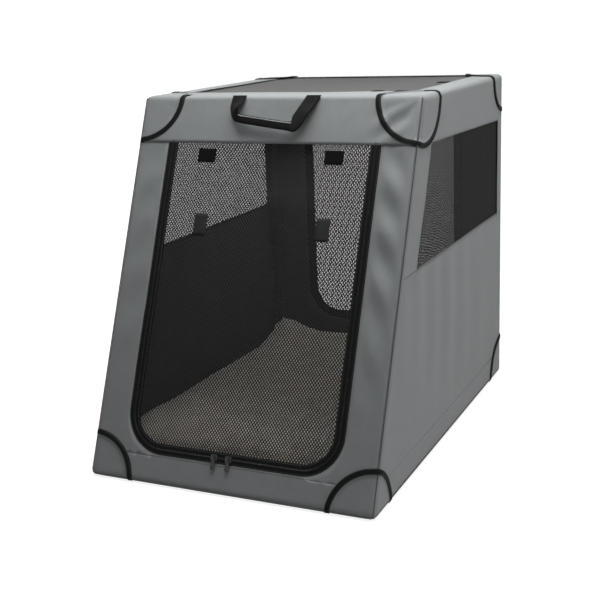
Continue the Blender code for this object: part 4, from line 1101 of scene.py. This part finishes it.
def patches():
    """The halves of the hook-and-loop fasteners, on the front door and on the roof."""
    for side, word in ((-1, "left"), (1, "right")):
        u = side * 0.1165
        patch(f"door_patch_upper_{word}", FRONT, (u - 0.0165, 0.549, u + 0.0165, 0.573), 0.0004, "patch",
              "front_door")
        u = side * 0.1115
        patch(f"door_patch_lower_{word}", FRONT, (u - 0.012, 0.423, u + 0.012, 0.461), -0.0002, "loop patch",
              "front_door")
    front_top = SETBACK - HALF_LENGTH
    for number, (u, off) in enumerate(((0.144, 0.089), (0.187, 0.085), (0.200, 0.280)), 1):
        v = front_top + off
        patch(f"roof_patch_{number}", ROOF, (u - 0.010, v - 0.010, u + 0.010, v + 0.010), 0.0006, "patch", "roof")


# Corner guards


def guard(name, side, front, top, body):
    """A cloth cap over one corner with a bound, rounded edge."""
    rise = FRONT.up if front else BACK.up
    edges = [np.array((-side, 0.0, 0.0)), -rise if top else rise, np.array((0, 1.0 if front else -1.0, 0))]
    radii = [0.080, 0.082, 0.088 if top and front else 0.080]
    if top and not front:
        radii = [0.072, 0.072, 0.070]
    if not top:
        radii = [0.082, 0.082, 0.082]
    level = HEIGHT if top else 0.0
    wall_y = front_line(level) if front else HALF_LENGTH
    apex = np.array((side * HALF_WIDTH, wall_y, level))
    pairs = [(0, 1), (1, 2)] + ([(2, 0)] if top else [])
    steps = 20
    ways, reaches = [], []
    for a, b in pairs:
        angle = math.acos(np.clip(edges[a] @ edges[b], -1, 1))
        for i in range(steps):
            t = i / steps
            way = (math.sin((1 - t) * angle) * edges[a] + math.sin(t * angle) * edges[b]) / math.sin(angle)
            ways.append(way)
            reaches.append(1 / math.sqrt((math.cos(t * math.pi / 2) / radii[a]) ** 2
                                         + (math.sin(t * math.pi / 2) / radii[b]) ** 2))
    if not top:
        ways.append(edges[2])
        reaches.append(radii[2])
    binding = bpy.context.scene.crate_trim.binding
    # share of the reach, distance back from the rim, and lift; the rim's rows take the tape
    inner = [(0.0, 0.0009), (0.06, 0.0009), (0.14, 0.0009), (0.24, 0.0009), (0.36, 0.0009), (0.50, 0.0009),
             (0.64, 0.0009), (0.78, 0.0009), (0.90, 0.0009), (1.0, 0.0009)]
    rim = [(0.0, 0.0017), (0.0006, 0.0022), (binding * 0.5, 0.0024), (binding - 0.0006, 0.0021), (binding, 0.0002)]
    points, uv = [], []
    for way, reach in zip(ways, reaches):
        start = reach - binding
        flat = [apex + way * start * share for share, _ in inner]
        flat += [apex + way * (start + off) for off, _ in rim]
        lifts = [lift for _, lift in inner] + [lift for _, lift in rim]
        places, _ = skin(np.array(flat), np.array(lifts))
        points.append(places)
        uv.append([tuple(p) for p in np.stack([np.array(flat)[:, 0] + np.array(flat)[:, 1],
                                               np.array(flat)[:, 2] + 0.3 * np.array(flat)[:, 1]], axis=1)])
    columns, rows = len(ways), len(inner) + len(rim)
    faces, marks = [], []
    for c in range(columns if top else columns - 1):
        d = (c + 1) % columns
        bound = not (top and front and 2 * steps + 4 <= c < 3 * steps - 3)
        for r in range(rows - 1):
            faces.append((c * rows + r, c * rows + r + 1, d * rows + r + 1, d * rows + r))
            marks.append(1 if bound and r >= len(inner) - 1 else 0)
    thing = make_piece(name, np.concatenate(points), faces, [finish("grey cloth"), finish("tape")],
                       np.concatenate(uv), marks)
    shape = bmesh.new()
    shape.from_mesh(thing.data)
    bmesh.ops.remove_doubles(shape, verts=shape.verts, dist=1e-6)
    bmesh.ops.recalc_face_normals(shape, faces=shape.faces)
    middle = np.array((0, 0, HEIGHT / 2))
    near = max(shape.faces, key=lambda f: f.calc_area())
    if near.normal @ Vector(tuple(np.array(near.calc_center_median()) - middle)) < 0:
        bmesh.ops.reverse_faces(shape, faces=shape.faces)
    shape.to_mesh(thing.data)
    shape.free()
    wall = thing.modifiers.new("thickness", "SOLIDIFY")
    wall.thickness = 0.0008
    wall.offset = -1
    bake(thing)
    paths = []
    for off in (0.0014, binding - 0.0014):
        flat = np.array([apex + way * (reach - binding + off) for way, reach in zip(ways, reaches)]
                        + ([apex + ways[0] * (reaches[0] - binding + off)] if top else []))
        places, _ = skin(flat, 0.0024)
        paths.append(places)
    stitches = blocks(f"{name}_stitches", paths, 0.0034, (0.0005, 0.0005, 0.0022), "black thread")
    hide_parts(name)
    for made, slot in ((thing, "grey_cloth"), (stitches, "black_cloth")):
        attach(made, body)
        if top:
            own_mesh(made)


def dress_guards():
    for level, top, body in (("base", False, "base"), ("roof", True, "roof")):
        for end, front in (("front", True), ("rear", False)):
            for word, side in (("left", -1), ("right", 1)):
                guard(f"{level}_{end}_guard_{word}", side, front, top, body)


# Seams


def dress_seams():
    """Piping along the crate's edges and round its foot, and the windows' hems."""
    base, upper = [], []
    foot = 0.0065
    loop = []
    front_y = front_line(foot)
    for a, b in (((-HALF_WIDTH, front_y), (HALF_WIDTH, front_y)), ((HALF_WIDTH, front_y), (HALF_WIDTH, HALF_LENGTH)),
                 ((HALF_WIDTH, HALF_LENGTH), (-HALF_WIDTH, HALF_LENGTH)), ((-HALF_WIDTH, HALF_LENGTH), (-HALF_WIDTH, front_y))):
        for i in range(60):
            t = i / 60
            loop.append((a[0] + (b[0] - a[0]) * t, a[1] + (b[1] - a[1]) * t, foot))
    places, _ = skin(np.array(loop), 0.0006)
    base.append(tube("foot_piping", places, 0.0013, [finish("piping")], 6, True))
    for side in (-1, 1):
        for front in (True, False):
            for low, high, lift, kept in ((0.004, 0.535, 0.0011, base), (0.530, HEIGHT - 0.001, 0.0014, upper)):
                line = [(side * HALF_WIDTH, front_line(z) if front else HALF_LENGTH, z)
                        for z in np.linspace(low, high, 60)]
                places, _ = skin(np.array(line), lift)
                kept.append(tube("edge_seam", places, 0.0009, [finish("piping")], 5))
        start = front_line(WINDOW_LOW)
        line = [(side * HALF_WIDTH, start + 0.0005 + (HALF_LENGTH - start) * i / 60, WINDOW_LOW - 0.0015)
                for i in range(61)]
        places, _ = skin(np.array(line), 0.0001)
        base.append(tube("window_seam", places, 0.0005, [finish("piping")], 5))
    for name, parts, body in (("wall_piping", base, "base"), ("guard_piping", upper, "roof")):
        settle(join(name, parts), body, body == "roof")
    stitch_seams()


def stitch_seams():
    trim = bpy.context.scene.crate_trim
    size = (0.0005, 0.0005, trim.stitch * 0.66)
    half = HALF_WIDTH
    paths = []
    hem = [(u, SLOPE - TOP_BAND + 0.0025) for u in np.linspace(-half + 0.004, half - 0.004, 90)]
    paths.append(on_face(FRONT, hem, 0.0014))
    low_y, high_y = front_line(WINDOW_LOW) + WINDOW_FRONT, front_line(WINDOW_HIGH) + WINDOW_FRONT
    rear = HALF_LENGTH - WINDOW_REAR
    for face, turn in ((RIGHT, 1), (LEFT, -1)):
        ring = [(low_y - 0.003, WINDOW_LOW - 0.004), (rear + 0.003, WINDOW_LOW - 0.004),
                (rear + 0.003, WINDOW_HIGH - 0.004), (high_y - 0.003, WINDOW_HIGH + 0.004),
                (low_y - 0.003, WINDOW_LOW - 0.004)]
        line = resample([(turn * y, z) for y, z in ring], 240)
        paths.append(on_face(face, line, 0.0002))
    settle(blocks("wall_stitches", paths, trim.stitch, size, "thread"), "base")
    front_top = SETBACK - HALF_LENGTH
    ring = rectangle(-half + ROOF_SIDE - 0.003, front_top + ROOF_FRONT - 0.003, half - ROOF_SIDE + 0.003,
                     HALF_LENGTH - ROOF_REAR + 0.003)
    line = resample(ring + ring[:1], 300)
    made = blocks("roof_stitches", [on_face(ROOF, line, 0.0002)], trim.stitch, size, "thread")
    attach(made, "roof")


# Handle


def dress_handle():
    """The webbing handle: flat straps that turn into a doubled, narrow grip."""
    # place across and up the front, turn and twist in degrees, width, thickness and stand-off
    stations = ((-0.0680, 0.6650, 0, 0, 0.0250, 0.0022, 0.0004), (-0.0683, 0.6530, 0, 8, 0.0250, 0.0022, 0.0030),
                (-0.0682, 0.6430, 6, 26, 0.0245, 0.0024, 0.0065), (-0.0665, 0.6340, 22, 38, 0.0225, 0.0030, 0.0090),
                (-0.0625, 0.6255, 55, 24, 0.0175, 0.0048, 0.0105), (-0.0540, 0.6206, 80, 6, 0.0140, 0.0062, 0.0115),
                (-0.0250, 0.6162, 81, 0, 0.0138, 0.0064, 0.0122), (0.0080, 0.6116, 82, 0, 0.0138, 0.0064, 0.0122),
                (0.0335, 0.6086, 84, 0, 0.0142, 0.0062, 0.0118), (0.0430, 0.6090, 112, -4, 0.0190, 0.0046, 0.0105),
                (0.0490, 0.6190, 150, -12, 0.0245, 0.0028, 0.0090), (0.0560, 0.6350, 156, -16, 0.0250, 0.0024, 0.0065),
                (0.0630, 0.6500, 164, -8, 0.0250, 0.0022, 0.0030), (0.0680, 0.6650, 180, 0, 0.0250, 0.0022, 0.0004))
    rings = []
    for u, v, turn, twist, width, thick, stand in stations:
        turn, twist = math.radians(turn), math.radians(twist)
        inward = math.cos(turn) * FRONT.across + math.sin(turn) * FRONT.up
        across = math.cos(twist) * inward + math.sin(twist) * FRONT.out
        out = math.cos(twist) * FRONT.out - math.sin(twist) * inward
        centre = FRONT.at([(u, v)])[0] + FRONT.out * (stand + thick / 2 + abs(math.sin(twist)) * width / 2)
        rings.append(np.array([centre + across * width * a + out * thick * (w - 0.5) for a, w in
                               ((-0.5, 0.1), (-0.46, 0.0), (0.0, 0.0), (0.46, 0.0), (0.5, 0.1), (0.5, 0.9),
                                (0.46, 1.0), (0.0, 1.0), (-0.46, 1.0), (-0.5, 0.9))]))
    fine = []
    for i in range(len(rings) - 1):
        a, b = rings[max(i - 1, 0)], rings[i]
        c, d = rings[i + 1], rings[min(i + 2, len(rings) - 1)]
        for s in range(6):
            t = s / 6
            fine.append(0.5 * (2 * b + (c - a) * t + (2 * a - 5 * b + 4 * c - d) * t * t
                               + (3 * b - a - 3 * c + d) * t ** 3))
    fine.append(rings[-1])
    columns = len(rings[0])
    along = 0.0
    uv = []
    for i, ring in enumerate(fine):
        if i:
            along += np.linalg.norm(ring.mean(0) - fine[i - 1].mean(0))
        uv += [(along, 0.0125 * a) for a in (-1, -0.9, 0, 0.9, 1, 1.1, 1.2, 2.1, 3, 3.1)]
    faces = grid_faces(len(fine), columns, True)
    faces.append(tuple(range(columns)))
    faces.append(tuple(range((len(fine) - 1) * columns, len(fine) * columns))[::-1])
    thing = make_piece("webbing_handle", np.concatenate(fine), faces, [finish("webbing")], np.array(uv))
    shape = bmesh.new()
    shape.from_mesh(thing.data)
    bmesh.ops.recalc_face_normals(shape, faces=shape.faces)
    shape.to_mesh(thing.data)
    shape.free()
    # painted highlight: a thin grey tube along the grip's top edge stands for the light along that edge
    edge = np.array([ring[6] * 0.7 + ring[7] * 0.3 for ring in fine[28:53]])
    thing = join("webbing_handle", [thing, tube("grip_painted_highlight", edge, 0.0009, [finish("thread")], 5)])
    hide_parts("handle_strap")
    settle(thing, "handle", True)


# Mat


def dress_mat():
    """The plush mat: its solid's shape, swollen by a cloth simulation and roughened into pile."""
    settings = bpy.context.scene.crate_mat
    low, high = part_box("floor_mat")
    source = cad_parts["floor_mat"]
    mesh = source.data.copy()
    thing = bpy.data.objects.new("plush_mat", mesh)
    bpy.context.scene.collection.objects.link(thing)
    thing.matrix_world = source.matrix_world.copy()
    bpy.context.view_layer.update()
    mesh.transform(thing.matrix_world)
    thing.matrix_world = Matrix.Identity(4)
    shape = bmesh.new()
    shape.from_mesh(mesh)
    bmesh.ops.remove_doubles(shape, verts=shape.verts, dist=1e-5)
    middle = (low + high) / 2
    for vert in shape.verts:
        vert.co.x = max(-MAT_REACH, min(MAT_REACH, vert.co.x * 1.052))
        ahead = max(0.0, (middle.y - vert.co.y) / (middle.y - low.y))
        vert.co.z = low.z + (vert.co.z - low.z) * (0.98 + 0.10 * ahead ** 2)
        vert.co.y = middle.y + (vert.co.y - middle.y) * (1.025 if ahead else 0.985)
        vert.co.y = max(vert.co.y, front_line(vert.co.z) + 0.004)
    shape.to_mesh(mesh)
    shape.free()
    mesh.materials.clear()
    mesh.materials.append(finish("plush"))
    remesh = thing.modifiers.new("voxels", "REMESH")
    remesh.mode = "VOXEL"
    remesh.voxel_size = settings.voxel
    remesh.use_smooth_shade = True
    even = thing.modifiers.new("even", "SMOOTH")
    even.factor = 0.5
    even.iterations = 10
    bake(thing)
    start = np.empty(len(thing.data.vertices) * 3)
    thing.data.vertices.foreach_get("co", start)
    start = start.reshape(-1, 3).copy()
    swell(thing)
    co = np.empty(len(thing.data.vertices) * 3)
    thing.data.vertices.foreach_get("co", co)
    co = co.reshape(-1, 3)
    moved = co - start
    reach = np.linalg.norm(moved, axis=1)
    moved *= np.minimum(1, 0.005 / np.maximum(reach, 1e-9))[:, None]
    co = start + moved
    co[:, 0] = np.clip(co[:, 0], -MAT_REACH, MAT_REACH)
    co[:, 1] = np.maximum(co[:, 1], front_line(co[:, 2]) + 0.004)
    co[:, 2] = np.maximum(co[:, 2], low.z + 0.0002)
    thing.data.vertices.foreach_set("co", co.ravel())
    thing.data.update()
    finer = thing.modifiers.new("finer", "SUBSURF")
    finer.levels = finer.render_levels = 1
    bake(thing)
    fluff(thing, low.z, settings.pile)
    thing.data.polygons.foreach_set("use_smooth", [True] * len(thing.data.polygons))
    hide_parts("floor_mat")
    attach(thing, "base")
    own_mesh(thing)


def swell(thing):
    """Blows the mat up a little, so its sides and corners turn soft."""
    scene = bpy.context.scene
    cloth = thing.modifiers.new("swell", "CLOTH")
    cloth.settings.use_pressure = True
    cloth.settings.uniform_pressure_force = 3.0
    cloth.settings.quality = 4
    cloth.settings.effector_weights.gravity = 0
    cloth.point_cache.frame_start, cloth.point_cache.frame_end = 1, 14
    for step in range(1, 15):
        scene.frame_set(step)
    bake(thing)
    scene.frame_set(1)


def fluff(thing, ground, pile):
    """Small tufts on everything above the ground."""
    co = np.empty(len(thing.data.vertices) * 3)
    normals = np.empty_like(co)
    thing.data.vertices.foreach_get("co", co)
    thing.data.vertices.foreach_get("normal", normals)
    co, normals = co.reshape(-1, 3), normals.reshape(-1, 3)
    heights = np.array([noise.fractal(Vector(p) * 95.0, 0.7, 2.1, 3) for p in co])
    free = smooth(ground + 0.003, ground + 0.012, co[:, 2])
    co = co + normals * (heights * pile * free)[:, None]
    thing.data.vertices.foreach_set("co", co.ravel())
    thing.data.update()


# The frame's own parts


def dress_frame():
    """Finishes for the tubes, brackets, knees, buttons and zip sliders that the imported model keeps."""
    for name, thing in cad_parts.items():
        if thing.hide_render:
            continue
        if "slider" in name or "pull" in name:
            made = finish("metal")
        elif "button" in name:
            made = finish("button")
        elif "bracket" in name or "knee" in name:
            made = finish("plastic")
        else:
            made = finish("tube")
        for part in thing.material_slots:
            part.link = "OBJECT"
            part.material = made


# Stage


def area_lamp(name, place, target, size, power):
    lamp = bpy.data.lights.new(name, "AREA")
    lamp.shape = "RECTANGLE"
    lamp.size, lamp.size_y = size
    lamp.energy = power
    thing = bpy.data.objects.new(name, lamp)
    bpy.context.scene.collection.objects.link(thing)
    thing.location = place
    thing.rotation_euler = (Vector(target) - Vector(place)).to_track_quat("-Z", "Y").to_euler()
    return thing


def dress_stage():
    """Floor, light and camera."""
    scene = bpy.context.scene
    settings = scene.crate_stage
    scene.view_settings.view_transform = "Standard"
    make_floor()
    make_world(settings.ambient)
    area_lamp("overhead_lamp", (0.12, -0.08, 1.38), (0.05, -0.02, 0.6), (1.0, 1.0), settings.top)
    area_lamp("front_lamp", (0.2, -2.2, 2.0), (0, -0.1, 0.5), (2.0, 1.2), settings.front)
    area_lamp("right_lamp", (2.6, -0.2, 0.8), (0.2, 0.1, 0.25), (1.6, 1.4), settings.side)
    make_camera()


def make_floor():
    floor = make_piece("studio_floor", [(-8, -8, -0.0004), (8, -8, -0.0004), (8, 8, -0.0004), (-8, 8, -0.0004)],
                       [(0, 1, 2, 3)], [], shade=False)
    made, shader = shader_of("pale_floor")
    kit = Nodes(made.node_tree)
    shader.inputs["Base Color"].default_value = (0.35, 0.35, 0.35, 1)
    shader.inputs["Roughness"].default_value = 0.9
    path = kit.add("ShaderNodeLightPath")
    seen = kit.math("MAXIMUM", path.outputs["Is Camera Ray"],
                    kit.math("MAXIMUM", path.outputs["Is Glossy Ray"], path.outputs["Is Transmission Ray"]))
    place = kit.add("ShaderNodeTexCoord")
    away = kit.add("ShaderNodeVectorMath", operation="LENGTH")
    kit.link(place.outputs["Object"], away.inputs[0])
    strength = kit.add("ShaderNodeMapRange")
    kit.link(away.outputs["Value"], strength.inputs[0])
    for i, value in enumerate((0.7, 2.2, 0.86, 1.0)):
        strength.inputs[i + 1].default_value = value
    glow = kit.add("ShaderNodeEmission")
    kit.link(strength.outputs[0], glow.inputs["Strength"])
    both = kit.add("ShaderNodeAddShader")
    mix = kit.add("ShaderNodeMixShader")
    outlet = made.node_tree.nodes["Material Output"]
    kit.link(shader.outputs[0], both.inputs[0])
    kit.link(glow.outputs[0], both.inputs[1])
    kit.link(seen, mix.inputs[0])
    kit.link(shader.outputs[0], mix.inputs[1])
    kit.link(both.outputs[0], mix.inputs[2])
    kit.link(mix.outputs[0], outlet.inputs["Surface"])
    floor.data.materials.append(made)


def make_world(ambient):
    world = bpy.data.worlds.new("studio")
    bpy.context.scene.world = world
    world.use_nodes = True
    kit = Nodes(world.node_tree)
    even = world.node_tree.nodes["Background"]
    even.inputs["Color"].default_value = (1, 1, 1, 1)
    even.inputs["Strength"].default_value = ambient
    white = kit.add("ShaderNodeBackground")
    white.inputs["Color"].default_value = (1, 1, 1, 1)
    white.inputs["Strength"].default_value = 1.0
    path = kit.add("ShaderNodeLightPath")
    seen = kit.math("MAXIMUM", path.outputs["Is Camera Ray"],
                    kit.math("MAXIMUM", path.outputs["Is Glossy Ray"], path.outputs["Is Transmission Ray"]))
    mix = kit.add("ShaderNodeMixShader")
    kit.link(seen, mix.inputs[0])
    kit.link(even.outputs[0], mix.inputs[1])
    kit.link(white.outputs[0], mix.inputs[2])
    kit.link(mix.outputs[0], world.node_tree.nodes["World Output"].inputs["Surface"])


def make_camera():
    """The camera at the photograph's place, from a fit to the crate's corners."""
    azimuth, elevation, roll = (math.radians(a) for a in (25.11, 14.96, -2.34))
    back = np.array((math.sin(azimuth) * math.cos(elevation), -math.cos(azimuth) * math.cos(elevation),
                     math.sin(elevation)))
    right = np.cross(-back, (0, 0, 1.0))
    right /= np.linalg.norm(right)
    up = np.cross(right, -back)
    turned = math.cos(roll) * right + math.sin(roll) * up
    raised = -math.sin(roll) * right + math.cos(roll) * up
    place = np.array((-0.0260, 0.0, 0.2286)) + back * 2.008
    data = bpy.data.cameras.new("photograph_camera")
    data.sensor_width = 36.0
    data.lens = 36.0 * 1085.0 / 600.0
    data.clip_start, data.clip_end = 0.05, 60.0
    thing = bpy.data.objects.new("photograph_camera", data)
    bpy.context.scene.collection.objects.link(thing)
    matrix = Matrix.Identity(4)
    for column, axis in enumerate((turned, raised, back, place)):
        for row in range(3):
            matrix[row][column] = axis[row]
    thing.matrix_world = matrix
    bpy.context.scene.camera = thing


# Operators, one for each group of like pieces


class CRATE_OT_walls(bpy.types.Operator):
    """Cloth of the walls, roof and floor, with the front's top band"""

    bl_idname = "crate.walls"
    bl_label = "Walls, roof and floor"

    def execute(self, context):
        dress_walls()
        return {"FINISHED"}


class CRATE_OT_nets(bpy.types.Operator):
    """Netting of the doors, windows and roof"""

    bl_idname = "crate.nets"
    bl_label = "Nets"

    def execute(self, context):
        dress_nets()
        return {"FINISHED"}


class CRATE_OT_doors(bpy.types.Operator):
    """Door tapes, zip teeth, stitches and fastener patches"""

    bl_idname = "crate.doors"
    bl_label = "Door tapes and zips"

    def execute(self, context):
        dress_doors()
        return {"FINISHED"}


class CRATE_OT_guards(bpy.types.Operator):
    """Bound cloth guards over the eight corners"""

    bl_idname = "crate.guards"
    bl_label = "Corner guards"

    def execute(self, context):
        dress_guards()
        return {"FINISHED"}


class CRATE_OT_seams(bpy.types.Operator):
    """Piping and stitches along the seams"""

    bl_idname = "crate.seams"
    bl_label = "Seams"

    def execute(self, context):
        dress_seams()
        return {"FINISHED"}


class CRATE_OT_handle(bpy.types.Operator):
    """The webbing handle at the roof's front edge"""

    bl_idname = "crate.handle"
    bl_label = "Handle"

    def execute(self, context):
        dress_handle()
        return {"FINISHED"}


class CRATE_OT_mat(bpy.types.Operator):
    """The plush mat"""

    bl_idname = "crate.mat"
    bl_label = "Mat"

    def execute(self, context):
        dress_mat()
        return {"FINISHED"}


class CRATE_OT_frame(bpy.types.Operator):
    """Finishes of the tubes, brackets, knees and sliders"""

    bl_idname = "crate.frame"
    bl_label = "Frame finishes"

    def execute(self, context):
        dress_frame()
        return {"FINISHED"}


class CRATE_OT_stage(bpy.types.Operator):
    """Floor, lamps and camera"""

    bl_idname = "crate.stage"
    bl_label = "Stage"

    def execute(self, context):
        dress_stage()
        return {"FINISHED"}


OPERATORS = (CRATE_OT_stage, CRATE_OT_walls, CRATE_OT_nets, CRATE_OT_doors, CRATE_OT_guards, CRATE_OT_seams,
             CRATE_OT_handle, CRATE_OT_mat, CRATE_OT_frame)
SETTINGS = {"crate_cloth": CrateCloth, "crate_net": CrateNet, "crate_trim": CrateTrim, "crate_mat": CrateMat,
            "crate_stage": CrateStage}


class CRATE_PT_panel(bpy.types.Panel):
    """The crate's sizes, colours and makers"""

    bl_idname = "CRATE_PT_panel"
    bl_label = "Dog crate"
    bl_space_type = "VIEW_3D"
    bl_region_type = "UI"
    bl_category = "Crate"

    def draw(self, context):
        for name in SETTINGS:
            box = self.layout.box()
            group = getattr(context.scene, name)
            for key in group.__annotations__:
                box.prop(group, key)
        for operator in OPERATORS:
            self.layout.operator(operator.bl_idname)


def register():
    for group in SETTINGS.values():
        bpy.utils.register_class(group)
    for name, group in SETTINGS.items():
        setattr(bpy.types.Scene, name, PointerProperty(type=group))
    for made in (*OPERATORS, CRATE_PT_panel):
        bpy.utils.register_class(made)


def unregister():
    for made in (CRATE_PT_panel, *OPERATORS[::-1]):
        bpy.utils.unregister_class(made)
    for name in SETTINGS:
        delattr(bpy.types.Scene, name)
    for group in SETTINGS.values():
        bpy.utils.unregister_class(group)


def main():
    register()
    for operator in OPERATORS:
        group, name = operator.bl_idname.split(".")
        getattr(getattr(bpy.ops, group), name)()


if __name__ == "__main__":
    main()
